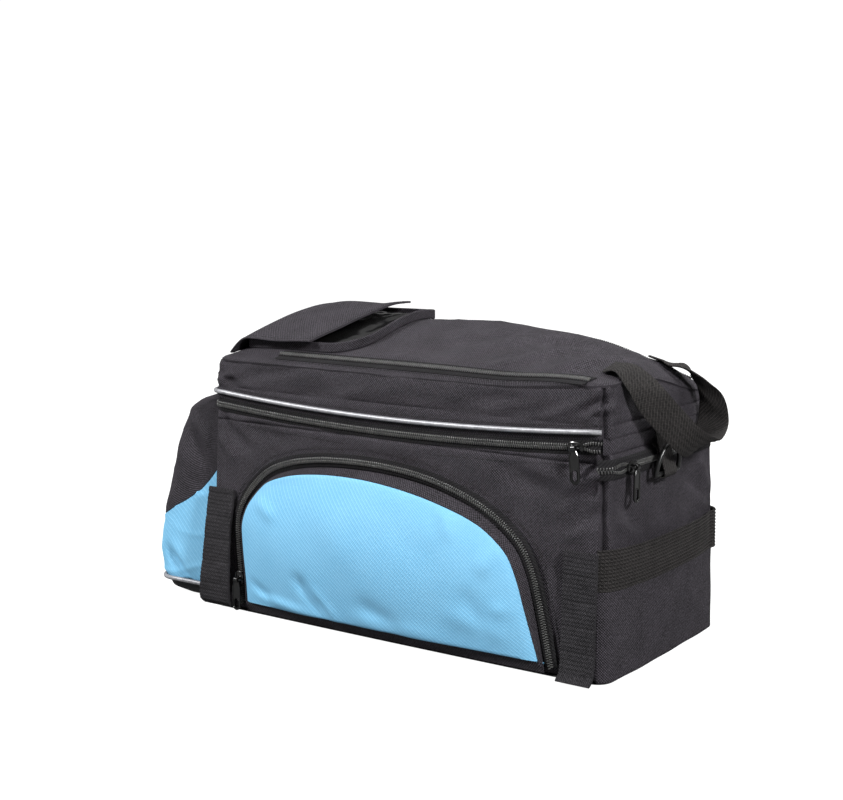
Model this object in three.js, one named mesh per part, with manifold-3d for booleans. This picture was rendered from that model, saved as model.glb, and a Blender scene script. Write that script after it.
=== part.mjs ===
// A soft bicycle rack bag as it is sewn: a tub with a zipped lid, arch pockets on both long sides,
// a rounded pocket on one end, and a flat pouch, ring and carrying strap on the other.
// Millimetres. X runs along the bag, the front long side faces -Y, Z is up.
// The origin is the middle of the base, on the surface that the bag stands on.
import * as THREE from 'three';
import { mergeVertices } from 'three/addons/utils/BufferGeometryUtils.js';
import loadManifold from 'manifold-3d';

const { lerp, smoothstep, clamp } = THREE.MathUtils;
const vec = (x, y, z) => new THREE.Vector3(x, y, z);
const manifold = await loadManifold();
manifold.setup();

// Driving dimensions of the body
const gap = 0.3; // clearance between neighbouring pieces
const bodyLength = 380; // at the main zip
const bodyWidth = 183; // at the main zip
const cornerRadius = 13; // upright corners
const baseFlare = 3.2; // the foot of each wall stands out by this
const baseThickness = 2.4;
const clothThickness = 2; // outer cloth with its coating and facing
const tubHeight = 170.5; // upper edge of the tub at the corners
const zipOpening = 12.2; // height of the slot that the main zip fills
const seamSag = 7; // middle of the long seams hangs lower by this
const sideBulge = 4.5; // long walls stand out at half height
const endBulge = 3; // end walls stand out at half height

// Driving dimensions of the lid
const lidBandHeight = 30.8; // from the main zip to the front edge of the lid's top
const lidEdgeHeight = tubHeight + zipOpening + lidBandHeight;
const lidRearRise = 8; // rear edge of the lid's top is higher by this
const lidFrontRise = 6; // front edge near the carrying strap is higher by this
const lidRearDrop = 22; // rear corner by the carrying strap hangs lower by this
const lidLean = 2.4; // the lid's band leans in by this
const lidCrown = 25; // the lid's top stands this far above its edges
const hingeReach = 0.35; // share of the corner's first facet that the lid's hinge strip takes

// Zips and their sliders
const tapeThickness = 1.2;
const chainWidth = 6;
const chainHeight = 2.4;
const topZipWidth = 16;
const pocketZipWidth = 11;
const endZipWidth = 15;
const mainSliderInset = 24; // from the body's right end to the main zip's slider
const mainSliderPlace = bodyLength / 2 - mainSliderInset;
const pocketSliderPlace = 30; // above the floor
const endSliderPlace = -62; // across the bag
const topZipInset = 13; // from the lid's edge to the middle of the top zips
const topZipReach = 296; // length of each top zip
const topZipRightEnd = 16; // from the lid's right end to the end of the top zips
const sliderLength = 13;
const sliderWidth = 9;
const sliderPlate = 1.4;
const bailRadius = 0.8;
const bailHeight = 3.1; // middle of the bail's bar above the slider's plate
const bailPost = 1.4;
const bailSpan = 8; // between the middles of the bail's posts
const eyeClearance = 0.45; // between the bail's bar and the pull's eye
const eyeWall = 1.1;
const pullLength = 29;
const pullWidth = 8.4;
const pullThickness = 1.8;
const pullNeckWidth = 4.6;
const pullShoulder = 3; // length of the taper from the neck to the full width
const pullSlotWidth = 4;

// Arch pockets on the long sides
const pocketLeftMargin = 32.5; // from the body's left end to the middle of the pocket's zip
const pocketRightMargin = 40;
const pocketCentre = (pocketLeftMargin - pocketRightMargin) / 2;
const pocketHalfWidth = (bodyLength - pocketLeftMargin - pocketRightMargin) / 2;
const pocketDrop = 26.7; // the top of the pocket's zip lies below the tub's edge by this
const pocketHeight = tubHeight - pocketDrop;
const pocketFoot = 12; // lower edge of the coloured panel above the floor
const pocketDepth = 10; // edge of the coloured panel stands out by this where it is deepest
const pocketCrown = 11; // middle of the coloured panel stands out further by this
const borderRun = 7; // dark border where it is widest, measured along the body
const pocketZipFoot = 8; // lower ends of the pocket's zip above the floor

// Rounded pocket on the left end
const endPocketDepth = 76;
const endPocketHalfWidth = 88;
const endPocketReach = 11.5; // the pocket reaches above the tub's edge by this
const endPocketHeight = tubHeight + endPocketReach;
const endPocketFoot = 3;
const endPocketCorner = 20;
const endPocketBlueSide = 118; // upper edge of the coloured panel beside the body
const endPocketBlueOuter = 68; // upper edge of the coloured panel on the outer face
const endPocketBaseHeight = 15; // lower edge of the coloured panel

// Right end
const elasticTop = 101;
const elasticWidth = 30;
const pouchMouth = 6; // the pouch stands off the wall by this at its mouth
const pouchThickness = 1.4;
const endZipDrop = 10.5; // the end zip lies below the tub's edge by this
const endZipHeight = tubHeight - endZipDrop;
const webbingWidth = 25;
const webbingThickness = 1.6;
const ringTabWidth = 20;
const ringSpan = 34; // inside width of the ring
const ringRise = 24; // from the ring's bar to its crown
const ringWire = 3.6;
const ringStandoff = 8.5; // middle of the ring's bar from the wall
const ringDrop = 11; // the ring's bar lies below the end zip by this
const ringHeight = endZipHeight - ringDrop;
const ringCentre = -15; // middle of the ring, across the bag
const ringLean = 9; // degrees from upright
const handleHalfSpan = 56; // from the middle to each sewn end of the strap
const handleStandoff = 25; // the hanging strap stands off the end wall by this
const handleDrop = 46; // from the lid's edge to the strap's lowest stretch

// Hook-and-loop straps and the reflective edging
const strapWidth = 28;
const strapThickness = 2.4;
const strapLength = 98;
const leftStrapTop = 104;
const rightStrapInset = 18; // from the body's right end to the middle of the strap
const leftStrapInset = 13; // from the body's left end to the middle of the strap
const pipingRadius = 1.9;
const pipingHeight = 5; // above the lid's lower edge

// Flap pocket on the lid
const flapLength = 108; // from its hinge to its free edge
const flapFront = -73;
const flapRear = 42;
const flapSkew = 20; // the free edge reaches further at the rear by this
const flapHingeInset = 5.5; // from the body's left end to the sewn edge of the flap
const flapHinge = bodyLength / 2 - flapHingeInset;
const flapTipLift = 3; // the free rear corner is lifted by this
const flapLift = 10; // the flap lies this far above the lid
const flapThickness = 1.8;
const rimHeight = 7;
const rimThickness = 1.6;
const rimRadius = 32; // front corner of the rim
const rimInset = 22; // from the body's left end to the open end of the rim
const rimLength = 114;
const rimLeft = bodyLength / 2 - rimInset; // both ends of the rim, from the middle of the bag
const rimRight = rimLeft - rimLength;
const rimFront = 66;
const rimRear = 46;
const windowThickness = 1;
const windowLift = 4.2; // the window lies this far above the lid

// Finishes
const finish = (color, roughness, metalness = 0) => new THREE.MeshStandardMaterial({
  color, roughness, metalness,
});
const finishes = {
  blackCloth: finish(0x2b2b2e, 0.85),
  blueCloth: finish(0x74b9e6, 0.75),
  webbing: finish(0x24221f, 0.9),
  zipTape: finish(0x1c1c1e, 0.8),
  reflective: finish(0xb4b6ba, 0.4),
  blackMetal: finish(0x151515, 0.3, 0.6),
  blackPlastic: finish(0x181818, 0.4),
  clearVinyl: finish(0x3a3d40, 0.1),
  coatedCloth: finish(0x1b1b1c, 0.45),
};

const bag = new THREE.Group();
function addPiece(name, geometry, material) {
  const mesh = new THREE.Mesh(geometry, material);
  mesh.name = name;
  bag.add(mesh);
  return mesh;
}

// Reads a smooth curve through the rows of a table: column `by` is the position, `column` the value.
function follow(table, by, column, at) {
  const curve = new THREE.CubicInterpolant(
    table.map((row) => row[by]), table.map((row) => row[column]), 1);
  const first = table[0][by];
  const last = table[table.length - 1][by];
  return curve.evaluate(clamp(at, first, last))[0];
}

const steps = (count) => Array.from({ length: count + 1 }, (_, k) => k / count);

// Turns a list of points and triangles into a geometry whose faces point out.
function closedGeometry(points, triangles) {
  let volume = 0;
  for (const [a, b, c] of triangles) {
    volume += points[a].dot(vec(0, 0, 0).crossVectors(points[b], points[c]));
  }
  const index = triangles.flatMap(([a, b, c]) => (volume < 0 ? [a, c, b] : [a, b, c]));
  const geometry = new THREE.BufferGeometry().setFromPoints(points);
  geometry.setIndex(index);
  geometry.computeVertexNormals();
  return geometry;
}

// Unit normals of a grid of points, rows first: column direction crossed with row direction.
function gridNormals(grid, wrap) {
  const rows = grid.length;
  const columns = grid[0].length;
  return grid.map((row, i) => row.map((point, j) => {
    const before = wrap ? (j + columns - 1) % columns : Math.max(j - 1, 0);
    const after = wrap ? (j + 1) % columns : Math.min(j + 1, columns - 1);
    const along = row[after].clone().sub(row[before]);
    const up = grid[Math.min(i + 1, rows - 1)][j].clone().sub(grid[Math.max(i - 1, 0)][j]);
    return along.cross(up).normalize();
  }));
}

function offsetGrid(grid, distance, wrap) {
  const normals = gridNormals(grid, wrap);
  return grid.map((row, i) => row.map((point, j) => (
    point.clone().addScaledVector(normals[i][j], distance))));
}

// A wall between two grids of the same size. With wrap, its last column joins its first.
function wallBetween(outer, inner, wrap) {
  const rows = outer.length;
  const columns = outer[0].length;
  const points = [...outer.flat(), ...inner.flat()];
  const at = (side, i, j) => side * rows * columns + i * columns + (j % columns);
  const triangles = [];
  const quad = (a, b, c, d) => triangles.push([a, b, c], [a, c, d]);
  const spans = wrap ? columns : columns - 1;
  for (let j = 0; j < spans; j += 1) {
    for (let i = 0; i < rows - 1; i += 1) {
      quad(at(0, i, j), at(0, i, j + 1), at(0, i + 1, j + 1), at(0, i + 1, j));
      quad(at(1, i, j), at(1, i + 1, j), at(1, i + 1, j + 1), at(1, i, j + 1));
    }
    quad(at(0, 0, j), at(1, 0, j), at(1, 0, j + 1), at(0, 0, j + 1));
    const top = rows - 1;
    quad(at(0, top, j), at(0, top, j + 1), at(1, top, j + 1), at(1, top, j));
  }
  if (!wrap) {
    const last = columns - 1;
    for (let i = 0; i < rows - 1; i += 1) {
      quad(at(0, i, 0), at(0, i + 1, 0), at(1, i + 1, 0), at(1, i, 0));
      quad(at(0, i, last), at(1, i, last), at(1, i + 1, last), at(0, i + 1, last));
    }
  }
  return closedGeometry(points, triangles);
}

// A sheet of cloth whose lower face is `lift` above the grid.
function sheet(grid, { lift = 0, thickness = clothThickness, wrap = false } = {}) {
  return wallBetween(
    offsetGrid(grid, lift + thickness, wrap), offsetGrid(grid, lift, wrap), wrap);
}

// A profile carried along frames. A profile point is [across, out] in each frame.
function sweep(frames, profile, closed = false) {
  const count = profile.length;
  const points = frames.flatMap(({ centre, across, out }) => profile.map(([a, o]) => (
    centre.clone().addScaledVector(across, a).addScaledVector(out, o))));
  const triangles = [];
  const spans = closed ? frames.length : frames.length - 1;
  for (let i = 0; i < spans; i += 1) {
    const next = (i + 1) % frames.length;
    for (let j = 0; j < count; j += 1) {
      const k = (j + 1) % count;
      const [a, b] = [i * count + j, i * count + k];
      const [c, d] = [next * count + k, next * count + j];
      triangles.push([a, b, c], [a, c, d]);
    }
  }
  if (!closed) {
    const outline = profile.map(([a, o]) => new THREE.Vector2(a, o));
    const last = (frames.length - 1) * count;
    for (const [a, b, c] of THREE.ShapeUtils.triangulateShape(outline, [])) {
      triangles.push([a, c, b], [last + a, last + b, last + c]);
    }
  }
  return closedGeometry(points, triangles);
}

// Frames along a list of points and the outward directions there.
function framesAlong(points, outs, closed = false) {
  const count = points.length;
  return points.map((centre, k) => {
    const before = closed ? (k + count - 1) % count : Math.max(k - 1, 0);
    const after = closed ? (k + 1) % count : Math.min(k + 1, count - 1);
    const tangent = points[after].clone().sub(points[before]).normalize();
    const across = outs[k].clone().cross(tangent).normalize();
    const out = tangent.clone().cross(across).normalize();
    return { centre, across, out };
  });
}

const circle = (radius, sides) => steps(sides).slice(0, -1).map((k) => [
  radius * Math.cos(2 * Math.PI * k), radius * Math.sin(2 * Math.PI * k)]);

// A flat tape with the raised chain along its middle, both above the frame's origin by `lift`.
function zipProfile(width, lift = gap) {
  const tape = width / 2;
  const chain = chainWidth / 2;
  const low = lift;
  const mid = lift + tapeThickness;
  const high = mid + chainHeight;
  return [[-tape, low], [tape, low], [tape, mid], [chain, mid], [chain, high], [-chain, high],
    [-chain, mid], [-tape, mid]];
}

const ribbonProfile = (width, thickness, lift = gap) => [
  [-width / 2, lift], [width / 2, lift], [width / 2, lift + thickness], [-width / 2, lift + thickness]];

function toManifold(geometry) {
  const bare = geometry.clone();
  bare.deleteAttribute('normal');
  bare.deleteAttribute('uv');
  const merged = mergeVertices(bare, 1e-5);
  return new manifold.Manifold(new manifold.Mesh({
    numProp: 3,
    vertProperties: new Float32Array(merged.attributes.position.array),
    triVerts: new Uint32Array(merged.index.array),
  }));
}

function fromManifold(solid) {
  const mesh = solid.getMesh();
  const geometry = new THREE.BufferGeometry();
  geometry.setAttribute('position', new THREE.BufferAttribute(mesh.vertProperties, mesh.numProp));
  geometry.setIndex(new THREE.BufferAttribute(mesh.triVerts, 1));
  geometry.computeVertexNormals();
  return geometry;
}

const joined = (...geometries) => fromManifold(
  geometries.map(toManifold).reduce((whole, piece) => whole.add(piece)));

// The body's outline
const halfLengthAt = (z) => bodyLength / 2 + baseFlare * (1 - z / tubHeight);
const halfWidthAt = (z) => bodyWidth / 2 + baseFlare * (1 - z / tubHeight);
const lidSeam = tubHeight + zipOpening;
const bulgeAt = (z) => 0.35 + 0.65 * Math.sin(Math.PI * clamp(z / tubHeight, 0, 1));
const sagAt = (z) => seamSag * smoothstep(z, 0, tubHeight);
const leanAt = (z) => lidLean * smoothstep(z, lidSeam, lidEdgeHeight);

// A point of a long wall at a distance x along the bag. The side is -1 for the front, 1 for the back.
function longWall(side, x, z) {
  const t = clamp(x / (halfLengthAt(z) - cornerRadius), -1, 1);
  const y = side * (halfWidthAt(z) - leanAt(z) + sideBulge * bulgeAt(z) * (1 - t * t));
  return vec(x, y, z - sagAt(z) * (1 - t * t));
}

// A point of an end wall. The end is -1 for the left one, 1 for the right one.
function endWall(end, y, z) {
  const t = clamp(y / (halfWidthAt(z) - cornerRadius), -1, 1);
  return vec(end * (halfLengthAt(z) - leanAt(z) + endBulge * bulgeAt(z) * (1 - t * t)), y, z);
}

const longSegments = 12;
const endSegments = 8;
const cornerSegments = 4;

// One turn round the body at a height, from the left end of the front, counterclockwise from above.
function outlineAt(z) {
  const reachX = halfLengthAt(z) - cornerRadius;
  const reachY = halfWidthAt(z) - cornerRadius;
  const inset = leanAt(z);
  const corner = (signX, signY, start) => steps(cornerSegments).slice(1, -1).map((k) => {
    const angle = start + k * Math.PI / 2;
    const radius = cornerRadius - inset;
    return vec(
      signX * reachX + radius * Math.cos(angle), signY * reachY + radius * Math.sin(angle), z);
  });
  const along = (count, reach, place) => steps(count).map((k) => place(reach * (2 * k - 1)));
  return [
    ...along(longSegments, reachX, (x) => longWall(-1, x, z)),
    ...corner(1, -1, -Math.PI / 2),
    ...along(endSegments, reachY, (y) => endWall(1, y, z)),
    ...corner(1, 1, 0),
    ...along(longSegments, reachX, (x) => longWall(1, -x, z)),
    ...corner(-1, 1, Math.PI / 2),
    ...along(endSegments, reachY, (y) => endWall(-1, -y, z)),
    ...corner(-1, -1, Math.PI),
  ];
}

// Columns of the outline that belong to the right end: its corners and what lies between them.
const rightEndFirst = longSegments + 1;
const rightEndLast = longSegments + 2 * cornerSegments - 1 + endSegments;
const frontRightColumn = longSegments;
const rearRightColumn = rightEndLast + 1;

const toIndexed = (geometry) => fromManifold(toManifold(geometry));

function addBase() {
  const outline = outlineAt(0).map((point) => new THREE.Vector2(point.x, point.y));
  const plate = new THREE.ExtrudeGeometry(new THREE.Shape(outline), {
    depth: baseThickness, bevelEnabled: false });
  addPiece('base_panel', toIndexed(plate), finishes.coatedCloth);
}

function addTub() {
  const foot = baseThickness + gap;
  const rows = steps(5).map((k) => outlineAt(lerp(foot, tubHeight, k)));
  addPiece('main_body', sheet(rows, { lift: -clothThickness, wrap: true }), finishes.blackCloth);
}

// The right end of the slot between tub and lid is closed by the strip that the lid turns on.
function addLidHinge() {
  const rows = [tubHeight + gap, lidSeam - 2 * gap].map((z) => {
    const ring = outlineAt(z);
    const start = ring[frontRightColumn].clone().lerp(ring[rightEndFirst], hingeReach);
    const end = ring[rearRightColumn].clone().lerp(ring[rightEndLast], hingeReach);
    return [start, ...ring.slice(rightEndFirst, rightEndLast + 1), end];
  });
  addPiece('lid_hinge_strip', sheet(rows, { lift: -clothThickness }), finishes.blackCloth);
}

// Frames that run over the back, the left end and the front, from one right corner to the other.
function mainZipFrames(z) {
  const ring = [outlineAt(z - 1), outlineAt(z), outlineAt(z + 1)];
  const normals = gridNormals(ring, true)[1];
  const order = [];
  for (let k = rearRightColumn; k <= ring[1].length + frontRightColumn; k += 1) {
    order.push(k % ring[1].length);
  }
  const points = order.map((k) => ring[1][k]);
  return framesAlong(points, order.map((k) => normals[k]));
}

function addMainZip() {
  const width = zipOpening - 2 * gap;
  const frames = mainZipFrames(tubHeight + zipOpening / 2);
  addPiece('main_zip', sweep(frames, zipProfile(width, -clothThickness)), finishes.zipTape);
}

// The lid's edge and top
const lidHalfLength = halfLengthAt(lidEdgeHeight) - lidLean;
const lidHalfWidth = halfWidthAt(lidEdgeHeight) - lidLean;

function lidEdge(x, y) {
  const acrossShare = clamp((y / lidHalfWidth + 1) / 2, 0, 1);
  const towardsRight = smoothstep(x, 0.45 * lidHalfLength, lidHalfLength);
  const towardsRear = smoothstep(y, -0.6 * lidHalfWidth, lidHalfWidth);
  const rise = lidRearRise * acrossShare + lidFrontRise * towardsRight * (1 - towardsRear);
  return lidEdgeHeight + rise - lidRearDrop * towardsRight * towardsRear;
}

const crownAlong = [
  { along: -1, rise: 0 }, { along: -0.93, rise: 0.62 }, { along: -0.8, rise: 0.9 },
  { along: -0.5, rise: 0.97 }, { along: -0.1, rise: 1 }, { along: 0.2, rise: 0.98 },
  { along: 0.4, rise: 0.87 }, { along: 0.6, rise: 0.72 }, { along: 0.8, rise: 0.64 },
  { along: 0.93, rise: 0.5 }, { along: 1, rise: 0 },
];
const crownAcross = [
  { across: 0, rise: 0 }, { across: 0.07, rise: 0.17 }, { across: 0.3, rise: 0.62 },
  { across: 0.5, rise: 0.92 }, { across: 0.64, rise: 1 }, { across: 0.8, rise: 0.84 },
  { across: 0.93, rise: 0.4 }, { across: 1, rise: 0 },
];

function lidTop(x, y) {
  const along = follow(crownAlong, 'along', 'rise', x / lidHalfLength);
  const across = follow(crownAcross, 'across', 'rise', (y / lidHalfWidth + 1) / 2);
  return vec(x, y, lidEdge(x, y) + 2 * gap + lidCrown * Math.max(along, 0) * Math.max(across, 0));
}

const onLid = (x, y, rise) => lidTop(x, y).add(vec(0, 0, clothThickness + rise));

function lidNormal(x, y) {
  const step = 1;
  const along = lidTop(x + step, y).sub(lidTop(x - step, y));
  const across = lidTop(x, y + step).sub(lidTop(x, y - step));
  return along.cross(across).normalize();
}

function addLidBand() {
  const lower = outlineAt(lidSeam);
  const upper = outlineAt(lidEdgeHeight);
  const middle = outlineAt(lerp(lidSeam, lidEdgeHeight, 0.5));
  const rows = steps(3).map((k) => lower.map((point, j) => {
    const plan = k < 0.5 ? point.clone().lerp(middle[j], 2 * k)
      : middle[j].clone().lerp(upper[j], 2 * k - 1);
    const edge = lidEdge(upper[j].x, upper[j].y);
    return vec(plan.x, plan.y, lerp(point.z, edge, k));
  }));
  addPiece('lid_band', sheet(rows, { lift: -clothThickness, wrap: true }), finishes.blackCloth);
}

// Rows of points over the lid's rounded rectangle, closer together near its edges.
function lidGrid(columns, rowShares) {
  const reach = lidHalfWidth - cornerRadius;
  return rowShares.map((share) => {
    const y = share * lidHalfWidth;
    const past = Math.max(Math.abs(y) - reach, 0);
    const round = cornerRadius - Math.sqrt(Math.max(cornerRadius ** 2 - past ** 2, 0));
    return steps(columns).map((k) => lidTop(lerp(-1, 1, k) * (lidHalfLength - round), y));
  });
}

function addLidTop() {
  const shares = [-1, -0.96, -0.87, -0.65, -0.35, 0, 0.28, 0.55, 0.78, 0.93, 1];
  addPiece('lid_top', sheet(lidGrid(16, shares), {}), finishes.blackCloth);
}

function addPiping() {
  const z = lidSeam + pipingHeight;
  const frames = mainZipFrames(z).map((frame) => ({
    ...frame,
    centre: frame.centre.clone().addScaledVector(frame.out, pipingRadius + gap),
  }));
  addPiece('reflective_piping', sweep(frames, circle(pipingRadius, 6)), finishes.reflective);
}

function addTopZip(side, name) {
  const right = lidHalfLength - topZipRightEnd;
  const y = side * (lidHalfWidth - topZipInset);
  const surfaceLift = clothThickness + 2 * gap;
  const places = steps(16).map((k) => lerp(right - topZipReach, right, k));
  const outs = places.map((x) => lidNormal(x, y));
  const points = places.map((x, k) => lidTop(x, y).addScaledVector(outs[k], surfaceLift));
  addPiece(`top_zip_${name}`, sweep(framesAlong(points, outs), zipProfile(topZipWidth)),
    finishes.zipTape);
}

// Arch pocket: the zip's middle line as shares of the pocket's half width and height.
const archShares = [
  { across: -0.975, up: 0.05 }, { across: -0.98, up: 0.23 }, { across: -0.993, up: 0.41 },
  { across: -0.997, up: 0.545 }, { across: -0.975, up: 0.632 }, { across: -0.926, up: 0.725 },
  { across: -0.78, up: 0.873 }, { across: -0.613, up: 0.946 }, { across: -0.4, up: 0.986 },
  { across: -0.16, up: 1 }, { across: 0.05, up: 0.994 }, { across: 0.252, up: 0.969 },
  { across: 0.407, up: 0.93 }, { across: 0.579, up: 0.865 }, { across: 0.726, up: 0.774 },
  { across: 0.831, up: 0.668 }, { across: 0.893, up: 0.533 }, { across: 0.936, up: 0.366 },
  { across: 0.973, up: 0.189 }, { across: 1, up: 0.05 },
];
const archCurve = new THREE.CatmullRomCurve3(archShares.map(({ across, up }) => vec(
  pocketCentre + across * pocketHalfWidth, 0, up * pocketHeight)), false, 'centripetal');
const archSideSegments = 6;
const archTopSegments = 11;
const archSegments = 2 * archSideSegments + archTopSegments;

// The dark border along the arch, from its left end to its right end: shares of its widest run and
// of the depth at which it meets the coloured panel.
const archBorder = [
  { along: 0, run: 0.15, rise: 0.6 }, { along: 0.1, run: 0.35, rise: 0.9 },
  { along: 0.25, run: 0.4, rise: 1 }, { along: 0.45, run: 0.6, rise: 1 },
  { along: 0.62, run: 1, rise: 0.95 }, { along: 0.76, run: 0.75, rise: 0.85 },
  { along: 0.9, run: 0.65, rise: 0.75 }, { along: 1, run: 0.1, rise: 0.5 },
];

// The arch moved towards its inside by an inset that can change along it, from left to right.
// Each place is [x, z, share of the border's rise].
function archLine(insetAt, foot) {
  const points = archCurve.getSpacedPoints(archSegments);
  return points.map((point, k) => {
    const along = k / archSegments;
    const before = points[Math.max(k - 1, 0)];
    const after = points[Math.min(k + 1, archSegments)];
    const tangent = after.clone().sub(before).normalize();
    const x = point.x + insetAt(along) * tangent.z;
    const z = point.z - insetAt(along) * tangent.x;
    const atFoot = k === 0 || k === archSegments;
    return [x, atFoot ? foot : Math.max(z, foot), follow(archBorder, 'along', 'rise', along)];
  });
}

// The same line for a row of the border, a share of the way from the zip to the coloured panel.
function borderLine(run, foot) {
  const zipInset = pocketZipWidth / 2 + 2 * gap;
  return archLine((along) => (
    zipInset + run * borderRun * follow(archBorder, 'along', 'run', along)), foot);
}

const pocketFootSegments = 6;
function pocketLoop(run, foot) {
  const arch = borderLine(run, foot);
  const [first, last] = [arch[0], arch[archSegments]];
  const base = steps(pocketFootSegments).slice(1, -1).map((k) => [
    lerp(first[0], last[0], k), foot, lerp(first[2], last[2], k)]);
  return [...arch.slice().reverse(), ...base];
}

// A place that stands out from a long wall by a distance.
function proudOfWall(side, [x, z], distance) {
  const point = longWall(side, x, z);
  return vec(x, point.y + side * distance, z);
}

function addArchPocket(side, name) {
  const seat = 2 * gap;
  const borderRows = [
    { run: 0, lift: clothThickness + gap, depth: 0 }, { run: 0.3, lift: 0, depth: 0.5 },
    { run: 1, lift: 0, depth: 1 },
  ].map(({ run, lift, depth }) => {
    const foot = lerp(baseThickness + gap, pocketFoot, run);
    return pocketLoop(run, foot).map(([x, z, rise]) => (
      proudOfWall(side, [x, z], lift + depth * pocketDepth * rise)));
  });
  addPiece(`${name}_pocket_border`, sheet(borderRows, {
    lift: side < 0 ? -clothThickness : 0, wrap: true }), finishes.blackCloth);

  const rim = borderLine(1, pocketFoot);
  const left = rim.slice(0, archSideSegments + 1);
  const top = rim.slice(archSideSegments, archSideSegments + archTopSegments + 1);
  const right = rim.slice(archSideSegments + archTopSegments).reverse();
  const patch = steps(archSideSegments).map((v, i) => steps(archTopSegments).map((u, j) => {
    const mix = (axis) => {
      const foot = lerp(left[0][axis], right[0][axis], u);
      const sides = lerp(left[i][axis], right[i][axis], u);
      const ends = lerp(foot, top[j][axis], v);
      const corners = lerp(foot, lerp(top[0][axis], top[archTopSegments][axis], u), v);
      return ends + sides - corners;
    };
    const crown = pocketCrown * Math.sqrt(Math.sin(Math.PI * u)) * Math.sin(Math.PI * (0.12 + 0.88 * v));
    return proudOfWall(side, [mix(0), mix(1)], pocketDepth * mix(2) + gap + Math.max(crown, 0));
  }));
  const lift = side < 0 ? 0 : -clothThickness;
  addPiece(`${name}_pocket_panel`, sheet(patch, { lift }), finishes.blueCloth);

  const points = archLine(() => 0, pocketZipFoot).map((at) => proudOfWall(side, at, seat));
  const outs = points.map(() => vec(0, side, 0));
  const profile = zipProfile(pocketZipWidth);
  addPiece(`${name}_pocket_zip`, sweep(framesAlong(points, outs), profile), finishes.zipTape);
}

// Where the end pocket is sewn on: the left wall with its rounded corners, and the main zip above it.
function endPocketSeat(y, z) {
  const inside = Math.max(Math.abs(y) - clothThickness, 0);
  const past = clamp(inside - halfWidthAt(z) + cornerRadius, 0, cornerRadius);
  const round = cornerRadius - Math.sqrt(cornerRadius ** 2 - past ** 2);
  const overZip = smoothstep(z, tubHeight - cornerRadius, tubHeight);
  const proud = overZip * (tapeThickness + chainHeight - clothThickness);
  return endWall(-1, inside, z).x + round - proud - 2 * gap;
}

// Rounded pocket on the left end, as sections whose sizes are shares of its depth and half width.
const endPocketSections = [
  { up: 0, depth: 0, width: 0.9 }, { up: 0.001, depth: 0.6, width: 0.95 },
  { up: 0.02, depth: 0.82, width: 0.985 }, { up: 0.09, depth: 0.94, width: 1 },
  { up: 0.2, depth: 1, width: 1 }, { up: 0.3, depth: 0.97, width: 1 },
  { up: 0.42, depth: 0.9, width: 0.99 }, { up: 0.54, depth: 0.84, width: 0.98 },
  { up: 0.7, depth: 0.75, width: 0.96 }, { up: 0.81, depth: 0.68, width: 0.94 },
  { up: 0.91, depth: 0.57, width: 0.92 }, { up: 0.965, depth: 0.42, width: 0.9 },
  { up: 0.99, depth: 0.2, width: 0.88 }, { up: 1, depth: 0, width: 0.87 },
];
const endPocketSideSegments = 3;
const endPocketCornerSegments = 4;
const endPocketFaceSegments = 3;

// One section of the end pocket: from its rear edge at the wall, round the outside, to its front edge.
function endPocketSection({ up, depth, width }) {
  const z = lerp(endPocketFoot, endPocketHeight, up);
  const reach = depth * endPocketDepth;
  const half = width * endPocketHalfWidth;
  const radius = Math.min(endPocketCorner, reach);
  const side = steps(endPocketSideSegments).map((k) => [k * (reach - radius), half]);
  const corner = steps(endPocketCornerSegments).slice(1).map((k) => {
    const angle = k * Math.PI / 2;
    return [reach - radius * (1 - Math.sin(angle)), half - radius * (1 - Math.cos(angle))];
  });
  const face = steps(endPocketFaceSegments).slice(1).map((k) => [reach, (half - radius) * (1 - k)]);
  const rear = [...side, ...corner, ...face];
  const front = rear.slice(0, -1).reverse().map(([out, y]) => [out, -y]);
  return [...rear, ...front].map(([out, y]) => vec(endPocketSeat(y, z) - out, y, z));
}

const endPocketRings = endPocketSections.map(endPocketSection);
const endPocketColumns = endPocketRings[0].length;
const endPocketLastRow = endPocketSections.length - 1;

function endPocketSurface(row, column) {
  const low = Math.min(Math.floor(row), endPocketLastRow - 1);
  return endPocketRings[low][column].clone().lerp(endPocketRings[low + 1][column], row - low);
}

function endPocketRowAt(z) {
  const share = (z - endPocketFoot) / (endPocketHeight - endPocketFoot);
  const above = endPocketSections.findIndex(({ up }) => up >= share);
  const [low, high] = [endPocketSections[above - 1], endPocketSections[above]];
  return above - 1 + (share - low.up) / (high.up - low.up);
}

// Upper edge of the coloured panel: high beside the body, low over the outer face.
function endPocketBlueEdge(column) {
  const fromWall = Math.min(column, endPocketColumns - 1 - column);
  const share = Math.min(fromWall / (endPocketSideSegments + endPocketCornerSegments), 1);
  return lerp(endPocketBlueSide, endPocketBlueOuter, 1 - (1 - share) ** 2.5);
}

function endPocketPiece(segments, lowRow, highRow) {
  return steps(segments).map((k) => endPocketRings[0].map((_, column) => (
    endPocketSurface(lerp(lowRow(column), highRow(column), k), column))));
}

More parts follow.
